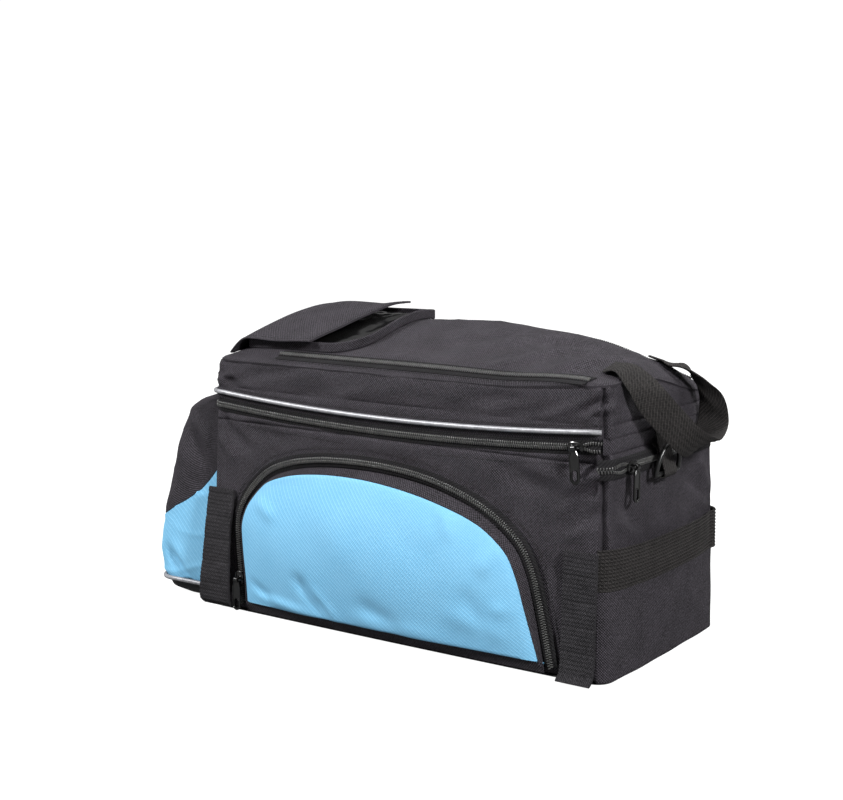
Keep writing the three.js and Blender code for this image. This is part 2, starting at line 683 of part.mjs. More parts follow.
function addEndPocket() {
  const seamGap = 2 * gap;
  const lift = -clothThickness;
  const base = endPocketPiece(4, () => 0, () => endPocketRowAt(endPocketBaseHeight - seamGap));
  const panel = endPocketPiece(4, () => endPocketRowAt(endPocketBaseHeight + seamGap),
    (column) => endPocketRowAt(endPocketBlueEdge(column) - seamGap));
  const top = endPocketPiece(5, (column) => endPocketRowAt(endPocketBlueEdge(column) + seamGap),
    () => endPocketLastRow);
  addPiece('end_pocket_base', sheet(base, { lift }), finishes.coatedCloth);
  addPiece('end_pocket_panel', sheet(panel, { lift }), finishes.blueCloth);
  addPiece('end_pocket_top', sheet(top, { lift }), finishes.blackCloth);

  const row = endPocketRowAt(endPocketBaseHeight);
  const ring = [row - 0.1, row, row + 0.1].map((at) => endPocketRings[0].map((_, column) => (
    endPocketSurface(at, column))));
  const outs = gridNormals(ring, false)[1].slice(1, -1);
  const points = ring[1].slice(1, -1).map((point, k) => (
    point.clone().addScaledVector(outs[k], pipingRadius + gap)));
  addPiece('end_pocket_piping', sweep(framesAlong(points, outs), circle(pipingRadius, 6)),
    finishes.reflective);
}

// Right end: pouch, elastic, zip, ring with its tab, and carrying strap
const endTrimInset = 1; // columns of each corner that end trim leaves free
const endTrim = (ring) => ring.slice(rightEndFirst + endTrimInset, rightEndLast + 1 - endTrimInset);

function pouchGrid(low, high, rows) {
  const reach = bodyWidth / 2 - cornerRadius / 2;
  return steps(rows).map((k) => {
    const z = lerp(low, high, k);
    const mouth = pouchMouth * (z / elasticTop);
    return endTrim(outlineAt(z)).map((point) => {
      const share = clamp(Math.abs(point.y) / reach, 0, 1);
      return vec(point.x + 2 * gap + mouth * (1 - share ** 4), point.y, z);
    });
  });
}

function addEndPouch() {
  const seam = elasticTop - elasticWidth;
  const thickness = pouchThickness;
  addPiece('end_pouch', sheet(pouchGrid(baseThickness + gap, seam - gap, 4), { thickness }),
    finishes.blackCloth);
  addPiece('elastic_band', sheet(pouchGrid(seam + gap, elasticTop, 2), { thickness }),
    finishes.webbing);
}

function addEndZip() {
  const ring = [-1, 0, 1].map((step) => endTrim(outlineAt(endZipHeight + step)));
  const outs = gridNormals(ring, false)[1];
  const frames = framesAlong(ring[1], outs);
  addPiece('end_zip', sweep(frames, zipProfile(endZipWidth)), finishes.zipTape);
}

const ringBar = vec(endWall(1, ringCentre, ringHeight).x + ringStandoff, ringCentre, ringHeight);

// A closed D: a straight bar along Y and a half ellipse above it, leaning out from the wall.
function addRing() {
  const half = (ringSpan + ringWire) / 2;
  const lean = THREE.MathUtils.degToRad(ringLean);
  const bow = steps(10).map((k) => [half * Math.cos(Math.PI * k), ringRise * Math.sin(Math.PI * k)]);
  const bar = steps(4).slice(1, -1).map((k) => [lerp(-half, half, k), 0]);
  const points = [...bow, ...bar].map(([across, up]) => vec(
    ringBar.x + up * Math.sin(lean), ringBar.y + across, ringBar.z + up * Math.cos(lean)));
  const plane = vec(Math.cos(lean), 0, -Math.sin(lean));
  const frames = framesAlong(points, points.map(() => plane), true);
  addPiece('d_ring', sweep(frames, circle(ringWire / 2, 8), true), finishes.blackPlastic);
}

// Webbing folded round the ring's bar, drawn in the XZ plane from the wall outwards.
function addRingTab() {
  const hole = ringWire / 2 + 2 * gap;
  const loop = hole + webbingThickness;
  const wallAt = (z) => endWall(1, ringCentre, z).x;
  const overZip = endZipHeight + endZipWidth / 2;
  const clearOfZip = gap + tapeThickness + chainHeight + 2 * gap;
  const plies = 2 * webbingThickness;
  const sewn = lidSeam + pipingHeight;
  const shape = new THREE.Shape();
  shape.moveTo(ringBar.x - loop, ringBar.z);
  shape.absarc(ringBar.x, ringBar.z, loop, Math.PI, 2 * Math.PI, false);
  shape.lineTo(ringBar.x + loop, ringBar.z + hole);
  shape.lineTo(wallAt(overZip) + clearOfZip + plies, overZip);
  shape.lineTo(wallAt(sewn) + gap + plies, sewn);
  shape.lineTo(wallAt(sewn) + gap, sewn);
  shape.lineTo(wallAt(tubHeight) + gap, tubHeight);
  shape.lineTo(wallAt(overZip) + clearOfZip, overZip);
  shape.lineTo(ringBar.x - loop, ringBar.z + hole);
  shape.closePath();
  const eye = new THREE.Path();
  eye.absarc(ringBar.x, ringBar.z, hole, 0, 2 * Math.PI, true);
  shape.holes.push(eye);
  const tab = new THREE.ExtrudeGeometry(shape, {
    depth: ringTabWidth, bevelEnabled: false, curveSegments: 5 });
  tab.rotateX(Math.PI / 2);
  tab.translate(0, ringCentre + ringTabWidth / 2, 0);
  addPiece('d_ring_tab', toIndexed(tab), finishes.webbing);
}

// Carrying strap: its middle line and the direction of its width. Shares of the stand-off from the
// end wall, the half span between its sewn ends, and the drop below the lid's edge. Rows without
// a height lie on the lid, where the strap is sewn down.
const handleRows = [
  { out: -0.72, across: -1, wx: 0, wy: 1, wz: 0 },
  { out: -0.28, across: -0.99, up: 0.354, wx: 0.12, wy: 0.98, wz: 0.1 },
  { out: 0.16, across: -0.946, up: 0.146, wx: 0.25, wy: 0.9, wz: 0.4 },
  { out: 0.56, across: -0.83, up: -0.174, wx: 0.5, wy: 0.5, wz: 0.62 },
  { out: 0.9, across: -0.57, up: -0.54, wx: 0.5, wy: 0.42, wz: 0.74 },
  { out: 1.08, across: -0.28, up: -0.826, wx: 0.5, wy: 0.3, wz: 0.78 },
  { out: 1.06, across: 0.09, up: -0.99, wx: 0.66, wy: 0.1, wz: 0.64 },
  { out: 0.84, across: 0.53, up: -0.967, wx: 0.95, wy: 0.15, wz: 0.1 },
  { out: 0.64, across: 0.955, up: -0.74, wx: 0.95, wy: 0.1, wz: 0 },
  { out: 0.56, across: 0.955, up: -0.39, wx: 0.9, wy: -0.3, wz: 0.35 },
  { out: 0.32, across: 0.885, up: -0.137, wx: 0.5, wy: -0.75, wz: 0.45 },
  { out: 0, across: 0.79, up: 0.06, wx: 0.3, wy: -0.9, wz: 0.3 },
  { out: -0.44, across: 0.8, up: 0.165, wx: 0.2, wy: -0.97, wz: 0 },
  { out: -0.8, across: 0.8, wx: 0, wy: -1, wz: 0 },
  { out: -1.3, across: 0.79, wx: 0, wy: -1, wz: 0 },
];

function addHandle() {
  const rows = handleRows.map(({ out, across, up, wx, wy, wz }) => {
    const x = bodyLength / 2 + out * handleStandoff;
    const y = across * handleHalfSpan;
    if (up !== undefined) {
      return { place: vec(x, y, lidEdgeHeight + up * handleDrop), width: vec(wx, wy, wz) };
    }
    const slope = onLid(x, y + 1, 0).sub(onLid(x, y, 0));
    return { place: onLid(x, y, 3 * gap), width: slope.multiplyScalar(Math.sign(wy)) };
  });
  const centres = new THREE.CatmullRomCurve3(rows.map(({ place }) => place), false, 'centripetal');
  const widths = new THREE.CatmullRomCurve3(rows.map(({ width }) => width));
  const frames = steps(32).map((k) => {
    const tangent = centres.getTangent(k);
    const out = tangent.clone().cross(widths.getPoint(k)).normalize();
    return { centre: centres.getPoint(k), across: out.clone().cross(tangent), out };
  });
  addPiece('carrying_strap', sweep(frames, ribbonProfile(webbingWidth, webbingThickness)),
    finishes.webbing);
}

// Hook-and-loop straps: how far down a strap a row lies, as a share of its upper end's height, and
// how far it stands off the wall, as a share of its width.
const straightStrap = [
  { down: 0, out: 0 }, { down: 0.35, out: 0.02 }, { down: 0.7, out: 0.05 },
  { down: 0.88, out: 0.08 }, { down: 0.94, out: 0.16 }, { down: 0.965, out: 0.3 },
];
const curledStrap = [
  { down: 0, out: 0 }, { down: 0.12, out: 0.07 }, { down: 0.3, out: 0.18 },
  { down: 0.6, out: 0.3 }, { down: 0.84, out: 0.36 }, { down: 0.93, out: 0.3 },
  { down: 0.965, out: 0.16 },
];

function addStrap(name, side, middle, top, rows) {
  const grid = rows.slice().reverse().map(({ down, out }) => {
    const z = top - down * top;
    return [-0.5, 0.5].map((share) => {
      const x = middle + share * strapWidth * -side;
      const wall = longWall(side, Math.sign(middle) * (bodyLength / 2 - cornerRadius), z);
      return vec(x, wall.y + side * (3 * gap + out * strapWidth), z);
    });
  });
  addPiece(name, sheet(grid, { thickness: strapThickness }), finishes.webbing);
}

// Flap pocket: its rim stands on the lid, its window lies inside the rim, its flap covers both.
function rimPath() {
  const corner = steps(5).map((k) => {
    const angle = -Math.PI / 2 + k * Math.PI / 2;
    return [-rimRight - rimRadius * (1 - Math.cos(angle)), -rimFront + rimRadius * (1 + Math.sin(angle))];
  });
  const front = steps(4).slice(0, -1).map((k) => [
    lerp(-rimLeft, -rimRight - rimRadius, k), -rimFront]);
  const right = steps(3).slice(1).map((k) => [
    -rimRight, lerp(rimRadius - rimFront, rimRear, k)]);
  const rear = steps(5).slice(1).map((k) => [lerp(-rimRight, -rimLeft, k), rimRear]);
  return [...front, ...corner, ...right, ...rear];
}

function addPocketRim() {
  const path = rimPath();
  const rows = [3 * gap, 3 * gap + rimHeight].map((rise) => path.map(([x, y]) => onLid(x, y, rise)));
  addPiece('flap_pocket_rim', sheet(rows, { lift: -rimThickness / 2, thickness: rimThickness }),
    finishes.blackCloth);
}

function addWindow() {
  const margin = rimThickness + 2 * gap;
  const radius = rimRadius - margin;
  const grid = [0, 0.02, 0.08, 0.18, 0.4, 0.7, 1].map((v) => {
    const y = lerp(margin - rimFront, rimRear - margin, v);
    const past = clamp(rimRadius - rimFront - y, 0, radius);
    const round = radius - Math.sqrt(radius ** 2 - past ** 2);
    return steps(7).map((u) => onLid(
      lerp(-rimLeft, -rimRight - margin - round, u), y, windowLift));
  });
  addPiece('flap_pocket_window', sheet(grid, { thickness: windowThickness }), finishes.clearVinyl);
}

// How far the flap stands above the lid, as a share of its full lift, from its hinge to its free edge.
const flapRise = [
  { along: 0, rise: 0.08 }, { along: 0.06, rise: 0.5 }, { along: 0.14, rise: 0.92 },
  { along: 0.3, rise: 1.05 }, { along: 0.6, rise: 1 }, { along: 1, rise: 1 },
];

function addFlap() {
  const grid = steps(6).map((v) => {
    const y = lerp(flapFront, flapRear, v);
    return steps(10).map((u) => {
      const x = -flapHinge + u * (flapLength - flapSkew * (1 - v));
      const tip = flapTipLift * smoothstep(u, 0.7, 1) * smoothstep(v, 0.5, 1);
      return onLid(x, y, follow(flapRise, 'along', 'rise', u) * flapLift + tip);
    });
  });
  addPiece('flap', sheet(grid, { thickness: flapThickness }), finishes.blackCloth);
}

// Zip sliders. In a slider's own frame X is its bail, Y points up the wall and Z out of the tape.
const plateLow = chainHeight + gap;
const barHeight = plateLow + sliderPlate + bailHeight;
const box = (width, depth, height, x, y, z) => (
  new THREE.BoxGeometry(width, depth, height).translate(x, y, z));

function sliderGeometry(chainAlongBail) {
  const [length, width] = chainAlongBail ? [sliderLength, sliderWidth] : [sliderWidth, sliderLength];
  const flangeHeight = plateLow + sliderPlate - gap;
  const flangeWidth = (sliderWidth - chainWidth) / 2 - 2 * gap;
  const flangeMiddle = (sliderWidth - flangeWidth) / 2;
  const flanges = [-1, 1].map((side) => (chainAlongBail
    ? box(length, flangeWidth, flangeHeight, 0, side * flangeMiddle, gap + flangeHeight / 2)
    : box(flangeWidth, width, flangeHeight, side * flangeMiddle, 0, gap + flangeHeight / 2)));
  const plate = box(length, width, sliderPlate, 0, 0, plateLow + sliderPlate / 2);
  const span = Math.min(bailSpan, length - bailPost);
  const postHeight = bailHeight + bailRadius + sliderPlate / 2;
  const posts = [-1, 1].map((side) => box(
    bailPost, 2 * bailRadius, postHeight, side * span / 2, 0,
    plateLow + sliderPlate / 2 + postHeight / 2));
  const bar = new THREE.CylinderGeometry(bailRadius, bailRadius, span, 8);
  bar.rotateZ(Math.PI / 2).translate(0, 0, barHeight);
  return joined(plate, ...flanges, ...posts, bar);
}

// A pull: an eye round the bail's bar and a flat tab with a slot, hanging along -Y.
function pullGeometry() {
  const eyeInner = bailRadius + eyeClearance;
  const eyeOuter = eyeInner + eyeWall;
  const span = Math.min(bailSpan, sliderWidth - bailPost);
  const eyeLength = span - bailPost - 2 * gap;
  const eyeShape = new THREE.Shape();
  eyeShape.absarc(0, 0, eyeOuter, 0, 2 * Math.PI, false);
  const bore = new THREE.Path();
  bore.absarc(0, 0, eyeInner, 0, 2 * Math.PI, true);
  eyeShape.holes.push(bore);
  const eye = new THREE.ExtrudeGeometry(eyeShape, {
    depth: eyeLength, bevelEnabled: false, curveSegments: 5 });
  eye.translate(0, 0, -eyeLength / 2).rotateY(Math.PI / 2);

  const neckTop = -(eyeInner + eyeWall / 2);
  const shoulder = neckTop - pullShoulder;
  const end = eyeOuter - pullLength;
  const neck = Math.min(pullNeckWidth, eyeLength) / 2;
  const half = pullWidth / 2;
  const tabShape = new THREE.Shape();
  tabShape.moveTo(-neck, neckTop);
  tabShape.lineTo(-half, shoulder);
  tabShape.lineTo(-half, end + half);
  tabShape.absarc(0, end + half, half, Math.PI, 2 * Math.PI, false);
  tabShape.lineTo(half, shoulder);
  tabShape.lineTo(neck, neckTop);
  tabShape.closePath();
  const slot = new THREE.Path();
  const slotHalf = pullSlotWidth / 2;
  slot.absarc(0, end + half, slotHalf, Math.PI, 2 * Math.PI, false);
  slot.absarc(0, end + half + 2 * slotHalf, slotHalf, 0, Math.PI, false);
  slot.closePath();
  tabShape.holes.push(slot);
  const tab = new THREE.ExtrudeGeometry(tabShape, {
    depth: pullThickness, bevelEnabled: false, curveSegments: 3 });
  tab.translate(0, 0, -pullThickness / 2);
  return joined(eye, tab);
}

// Places a slider and its pull. The bail's bar runs along `along`, `out` points out of the tape.
function addSlider(name, place, along, out, chainAlongBail) {
  const up = out.clone().cross(along);
  const turn = new THREE.Matrix4().makeBasis(along, up, out);
  const slider = addPiece(`${name}_slider`, sliderGeometry(chainAlongBail), finishes.blackMetal);
  slider.quaternion.setFromRotationMatrix(turn);
  slider.position.copy(place);
  const pull = addPiece(`${name}_pull`, pullGeometry(), finishes.blackMetal);
  pull.quaternion.copy(slider.quaternion);
  pull.position.copy(place).addScaledVector(out, barHeight);
}

function addSliders() {
  const zipMiddle = tubHeight + zipOpening / 2;
  const main = longWall(-1, mainSliderPlace, zipMiddle);
  const mainAlong = longWall(-1, mainSliderPlace + 1, zipMiddle).sub(main).normalize();
  const mainOut = mainAlong.clone().cross(vec(0, 0, 1)).normalize();
  main.addScaledVector(mainOut, tapeThickness - clothThickness);
  addSlider('main_zip', main, mainAlong, mainOut, true);

  const line = archLine(() => 0, pocketZipFoot);
  const rising = line.slice(0, archSideSegments);
  const above = rising.findIndex(([, z]) => z >= pocketSliderPlace);
  const [low, high] = [rising[above - 1], rising[above]];
  const share = (pocketSliderPlace - low[1]) / (high[1] - low[1]);
  const spot = [lerp(low[0], high[0], share), pocketSliderPlace];
  for (const [side, name] of [[-1, 'front_pocket'], [1, 'back_pocket']]) {
    const place = proudOfWall(side, spot, 3 * gap + tapeThickness);
    addSlider(name, place, vec(-side, 0, 0), vec(0, side, 0), false);
  }

  const end = endWall(1, endSliderPlace, endZipHeight);
  const endAlong = endWall(1, endSliderPlace + 1, endZipHeight).sub(end).normalize();
  const endOut = endAlong.clone().cross(vec(0, 0, 1)).normalize();
  end.addScaledVector(endOut, gap + tapeThickness);
  addSlider('end_zip', end, endAlong, endOut, true);
}

addBase();
addTub();
addLidHinge();
addMainZip();
addLidBand();
addLidTop();
addPiping();
addTopZip(-1, 'front');
addTopZip(1, 'back');
addArchPocket(-1, 'front');
addArchPocket(1, 'back');
addEndPocket();
addEndPouch();
addEndZip();
addRing();
addRingTab();
addHandle();
const strapMiddle = bodyLength / 2 - rightStrapInset;
const leftStrapMiddle = leftStrapInset - bodyLength / 2;
addStrap('front_right_strap', -1, strapMiddle, strapLength, straightStrap);
addStrap('front_left_strap', -1, leftStrapMiddle, leftStrapTop, curledStrap);
addStrap('back_right_strap', 1, strapMiddle, strapLength, straightStrap);
addStrap('back_left_strap', 1, leftStrapMiddle, leftStrapTop, curledStrap);
addPocketRim();
addWindow();
addFlap();
addSliders();

export default bag;
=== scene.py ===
# %% [markdown]
# A bicycle rack bag in woven polyester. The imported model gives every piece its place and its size.
# Here each sewn panel is made again as a fine surface with its folds, and gets its cloth, webbing,
# zip or metal finish. All shapes are worked out in millimetres and stored in metres.

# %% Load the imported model
import math
import bpy
import numpy as np
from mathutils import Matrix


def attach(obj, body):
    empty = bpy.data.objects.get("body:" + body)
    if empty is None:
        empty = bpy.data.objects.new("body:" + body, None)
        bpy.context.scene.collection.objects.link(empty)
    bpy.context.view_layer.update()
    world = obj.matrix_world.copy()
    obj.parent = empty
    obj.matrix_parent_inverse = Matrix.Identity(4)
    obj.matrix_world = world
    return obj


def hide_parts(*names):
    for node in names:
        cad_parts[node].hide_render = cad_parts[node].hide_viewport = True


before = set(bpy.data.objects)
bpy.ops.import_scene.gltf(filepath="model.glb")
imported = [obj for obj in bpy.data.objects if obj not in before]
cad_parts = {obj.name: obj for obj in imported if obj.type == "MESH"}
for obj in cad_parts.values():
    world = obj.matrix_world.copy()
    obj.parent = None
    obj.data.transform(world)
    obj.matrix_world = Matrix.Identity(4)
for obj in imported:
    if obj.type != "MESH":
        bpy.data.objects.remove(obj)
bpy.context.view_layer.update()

# %% [markdown]
# The camera stands where the photographer stood: a little above the bag, near its right end. A
# backdrop could be modelled round the bag, but black cloth would mirror it as a grey haze. So the
# studio is a plain pale world, dim for the cloth and white for the camera, and three square lamps
# give the cloth its light.

# %% Camera and lamps
camera = bpy.data.objects.new("camera", bpy.data.cameras.new("camera"))
camera.location = (0.7046, -1.0628, 0.3774)
camera.rotation_euler = (math.radians(90 - 8.61), 0, math.radians(34.85))
camera.data.lens, camera.data.sensor_width = 66.2, 36
camera.data.clip_start = 0.01
bpy.context.collection.objects.link(camera)
bpy.context.scene.camera = camera


def soft_light(name, place, target, size, watts):
    """A square lamp at a place, turned towards a target, in metres."""
    lamp = bpy.data.lights.new(name, "AREA")
    lamp.size, lamp.energy = size, watts
    holder = bpy.data.objects.new(name, lamp)
    holder.location = place
    away = np.array(place) - np.array(target)
    flat = math.hypot(away[0], away[1])
    holder.rotation_euler = (math.atan2(flat, away[2]), 0, math.atan2(away[0], -away[1]))
    bpy.context.collection.objects.link(holder)


soft_light("key", (-1.6, -1.7, 1.9), (0, 0, 0.12), 0.4, 112)
soft_light("top", (0.5, 1.0, 1.9), (0, 0, 0.15), 0.6, 34)
soft_light("right", (1.9, -0.8, 1.3), (0, 0, 0.12), 0.4, 66)

bpy.context.scene.view_settings.view_transform = "Standard"
world = bpy.data.worlds.new("studio")
world.use_nodes = True
studio = world.node_tree
seen = studio.nodes.new("ShaderNodeLightPath").outputs["Is Camera Ray"]
strength = studio.nodes.new("ShaderNodeMapRange")
strength.inputs["To Min"].default_value = 0.22
strength.inputs["To Max"].default_value = 1.05
studio.links.new(seen, strength.inputs["Value"])
studio.links.new(strength.outputs["Result"], studio.nodes["Background"].inputs["Strength"])
studio.nodes["Background"].inputs["Color"].default_value = (1, 1, 1, 1)
bpy.context.scene.world = world
print("lamps:", len(bpy.data.lights))

# %% [markdown]
# Every surface here is a grid of points. It could be sculpted or subdivided, but whole-array sums
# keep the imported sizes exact, and a fine piece costs no more code than a coarse one. These
# functions turn arrays into a mesh, give a grid's normals and number its faces.

# %% Mesh from arrays
MM = 0.001


def put_mesh(name, points, quads, triangles=None, uv=None, soft_angle=50):
    """An object at the origin from points in millimetres; uv holds one pair for each face corner."""
    mesh = bpy.data.meshes.new(name)
    triangles = np.zeros((0, 3), int) if triangles is None else triangles
    corners = np.concatenate([quads.ravel(), triangles.ravel()])
    sizes = np.concatenate([np.full(len(quads), 4), np.full(len(triangles), 3)])
    mesh.vertices.add(len(points))
    mesh.vertices.foreach_set("co", (points * MM).ravel())
    mesh.loops.add(len(corners))
    mesh.loops.foreach_set("vertex_index", corners)
    mesh.polygons.add(len(sizes))
    mesh.polygons.foreach_set("loop_start", np.concatenate([[0], np.cumsum(sizes)[:-1]]))
    if uv is not None:
        mesh.uv_layers.new(name="cloth").data.foreach_set("uv", (uv * MM).ravel())
    mesh.update(calc_edges=True)
    mesh.validate()
    mesh.shade_smooth()
    mesh.set_sharp_from_angle(angle=math.radians(soft_angle))
    piece = bpy.data.objects.new(name, mesh)
    bpy.context.collection.objects.link(piece)
    return piece


def unit(vectors):
    """Each vector divided by its length."""
    return vectors / np.maximum(np.linalg.norm(vectors, axis=-1, keepdims=True), 1e-9)


def grid_normals(grid, wrap=False):
    """Column direction crossed with row direction, at each point of a grid."""
    if wrap:
        along = np.roll(grid, -1, axis=1) - np.roll(grid, 1, axis=1)
    else:
        along = np.gradient(grid, axis=1)
    return unit(np.cross(along, np.gradient(grid, axis=0)))


def loop_quads(rows, columns, wrap_rows, wrap_columns):
    """Quads of a grid; a wrapped direction joins its last line to its first."""
    i, j = np.meshgrid(np.arange(rows - (not wrap_rows)), np.arange(columns - (not wrap_columns)),
                       indexing="ij")
    i, j = i.ravel(), j.ravel()
    up, right = (i + 1) % rows, (j + 1) % columns
    quads = np.stack([i * columns + j, i * columns + right, up * columns + right,
                      up * columns + j], axis=1)
    return quads, i, j


def end_fans(rows, columns):
    """Triangles that close a tube of rows with a fan at each end. The two middle points, first
    and last, follow the points of the rows."""
    j = np.arange(columns)
    nxt, base = (j + 1) % columns, (rows - 1) * columns
    return np.concatenate([
        np.stack([nxt, j, np.full(columns, rows * columns)], axis=1),
        np.stack([base + j, base + nxt, np.full(columns, rows * columns + 1)], axis=1)])


# %% [markdown]
# A cloth piece could be a single sheet with a thickness modifier, but its cut edge would be square.
# Here the grid gets a copy one thickness behind it, and a rounded hem joins both along the edges.

# %% Cloth from a grid
HEM = 0.45


def cloth_piece(name, outer, thickness, wrap=False):
    """A grid and its copy one thickness behind it, joined by a rounded hem along all free edges."""
    normals = grid_normals(outer, wrap)
    inner = outer - thickness * normals
    rows, columns = outer.shape[:2]
    out = [unit(outer[k] - outer[k + step]) * thickness * HEM for k, step in ((0, 1), (-1, -1))]
    middle = [(outer[k] + inner[k]) / 2 for k in (0, -1)]
    shell = np.concatenate([outer, (middle[1] + out[1])[None], inner[::-1],
                            (middle[0] + out[0])[None]])
    quads, i, j = loop_quads(2 * rows + 2, columns, True, wrap)
    across = np.linalg.norm(np.diff(outer, axis=1, append=outer[:, :1]), axis=2).mean(axis=0)
    u = np.concatenate([[0], np.cumsum(across)])
    v = np.cumsum(np.linalg.norm(np.diff(shell, axis=0, prepend=shell[-1:]), axis=2).mean(axis=1))
    v_next = np.append(v, 2 * v[-1] - v[-2])
    uv = np.stack([np.stack([u[j + a], v_next[i + b]], axis=1)
                   for a, b in ((0, 0), (1, 0), (1, 1), (0, 1))], axis=1).reshape(-1, 2)
    triangles = None
    if not wrap:
        k = np.arange(rows - 1)
        ends = []
        for column, turn in ((columns - 1, 1), (0, -1)):
            cap = np.stack([k, 2 * rows - k, 2 * rows - k - 1, k + 1], axis=1) * columns + column
            quads = np.concatenate([quads, cap[:, ::turn]])
            hems = np.array([[rows - 1, rows + 1, rows], [2 * rows, 0, 2 * rows + 1]])
            ends += list((hems * columns + column)[:, ::turn])
        triangles = np.array(ends)
        spare = 4 * 2 * (rows - 1) + 3 * len(triangles)
        uv = np.concatenate([uv, np.zeros((spare, 2))])
    return put_mesh(name, shell.reshape(-1, 3), quads, triangles, uv)


# %% [markdown]
# Everything long, such as a zip's tape, an edging or webbing, is a profile carried along a path.
# A curve object with a bevel could do it, but arrays also give each piece its cloth coordinates and
# keep the profile upright on the wall. Teeth and stitches are one grain copied to many places.

# %% Profiles along paths, and grains
BEAD_SIDES = 6


def path_frames(points, outs, closed=False):
    """Across and out directions along a path: across is out crossed with the path's direction."""
    if closed:
        tangent = np.roll(points, -1, axis=0) - np.roll(points, 1, axis=0)
    else:
        tangent = np.gradient(points, axis=0)
    tangent = unit(tangent)
    across = unit(np.cross(outs, tangent))
    return across, np.cross(tangent, across), tangent


def swept_piece(name, points, outs, profile, closed=False):
    """A closed profile of [across, out] pairs carried along a path."""
    across, out, _ = path_frames(points, outs, closed)
    profile = np.array(profile, float)
    shell = (points[:, None] + across[:, None] * profile[None, :, :1]
             + out[:, None] * profile[None, :, 1:])
    rows, columns = shell.shape[:2]
    quads, i, j = loop_quads(rows, columns, closed, True)
    u = np.append(0, np.cumsum(np.linalg.norm(np.roll(profile, -1, axis=0) - profile, axis=1)))
    v = np.append(0, np.cumsum(np.linalg.norm(np.diff(points, axis=0, append=points[:1]), axis=1)))
    uv = np.stack([np.stack([v[i + b], u[j + a]], axis=1)
                   for a, b in ((0, 0), (1, 0), (1, 1), (0, 1))], axis=1).reshape(-1, 2)
    if closed:
        return put_mesh(name, shell.reshape(-1, 3), quads, None, uv)
    ends = np.stack([shell[0].mean(axis=0), shell[-1].mean(axis=0)])
    fans = end_fans(rows, columns)
    uv = np.concatenate([uv, np.zeros((3 * len(fans), 2))])
    return put_mesh(name, np.concatenate([shell.reshape(-1, 3), ends]), quads, fans, uv)


def circle(radius, count):
    """A round profile."""
    turn = np.arange(count) * 2 * np.pi / count
    return np.stack([radius * np.cos(turn), radius * np.sin(turn)], axis=1)


def repeated_piece(name, shape, faces, places, axes):
    """One small shape copied to many places. Each place has its own three axes as rows."""
    points = places[:, None] + np.einsum("vk,nkc->nvc", shape, axes)
    shift = (np.arange(len(places)) * len(shape))[:, None, None]
    return put_mesh(name, points.reshape(-1, 3), (faces[None] + shift).reshape(-1, 4))


def bead(length, width, height, rings):
    """A closed grain: rings along X whose radius follows the root of a sine, so its ends are round."""
    t = np.linspace(0, math.pi, rings + 2)
    angle = np.arange(BEAD_SIDES) * 2 * math.pi / BEAD_SIDES
    radius = np.sqrt(np.maximum(np.sin(t), 0.06))[:, None]
    x = np.broadcast_to(-np.cos(t)[:, None] * length / 2, (rings + 2, BEAD_SIDES))
    points = np.stack([x, radius * np.cos(angle) * width / 2, radius * np.sin(angle) * height / 2], 2)
    quads, _, _ = loop_quads(rings + 2, BEAD_SIDES, False, True)
    first_end = np.array([[0, 1, 2, 3], [0, 3, 4, 5]])
    last_end = first_end[:, [0, 3, 2, 1]] + (rings + 1) * BEAD_SIDES
    return points.reshape(-1, 3), np.concatenate([quads[:, ::-1], first_end, last_end])


# %% [markdown]
# Sewn shapes are read off as a few places and widths. A cubic curve runs through them without
# overshooting much. Folds could come from a cloth simulation, but it would move the seams off the
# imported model, so they are displaced: bells across a line, soft waves, and thin uneven creases.

# %% Curves, waves and folds
def hermite(knots, values, at):
    """A smooth curve through rows of values at the knots, with slopes weighted by their spacing."""
    knots, values, at = np.asarray(knots, float), np.asarray(values, float), np.asarray(at, float)
    span = np.diff(knots)
    rise = np.diff(values, axis=0) / span.reshape(-1, *[1] * (values.ndim - 1))
    slope = np.empty_like(values)
    slope[0], slope[-1] = rise[0], rise[-1]
    before = span[:-1].reshape(-1, *[1] * (values.ndim - 1))
    after = span[1:].reshape(-1, *[1] * (values.ndim - 1))
    slope[1:-1] = (rise[:-1] * after + rise[1:] * before) / (before + after)
    at = np.clip(at, knots[0], knots[-1])
    k = np.clip(np.searchsorted(knots, at, side="right") - 1, 0, len(span) - 1)
    shape = at.shape + (1,) * (values.ndim - 1)
    h, t = span[k].reshape(shape), ((at - knots[k]) / span[k]).reshape(shape)
    return ((2 * t**3 - 3 * t**2 + 1) * values[k] + (t**3 - 2 * t**2 + t) * h * slope[k]
            + (3 * t**2 - 2 * t**3) * values[k + 1] + (t**3 - t**2) * h * slope[k + 1])


def even_path(points, count):
    """Points at equal steps along a smooth curve through a few points."""
    points = np.array(points, float)
    knots = np.append(0, np.cumsum(np.sqrt(np.linalg.norm(np.diff(points, axis=0), axis=1))))
    dense = hermite(knots, points, np.linspace(0, knots[-1], 1200))
    length = np.append(0, np.cumsum(np.linalg.norm(np.diff(dense, axis=0), axis=1)))
    want = np.linspace(0, length[-1], count)
    return np.stack([np.interp(want, length, dense[:, k]) for k in range(points.shape[1])], axis=1)


def blend(a, b, t):
    """From a to b by the share t."""
    return a + (b - a) * t


def ease(x, low, high):
    """0 below low, 1 above high and a smooth step between."""
    t = np.clip((x - low) / (high - low), 0, 1)
    return t * t * (3 - 2 * t)


def ripple(a, b, size, seed):
    """Soft uneven waves between -1 and 1 over two coordinates: six sines in fixed directions."""
    source = np.random.default_rng(seed)
    total = 0
    for turn, phase, stretch in zip(source.uniform(0, math.pi, 6), source.uniform(0, 6.3, 6),
                                    source.uniform(0.6, 1.7, 6)):
        k = 2 * math.pi / (size * stretch)
        total = total + np.sin(k * (a * math.cos(turn) + b * math.sin(turn)) + phase)
    return total / 3.4


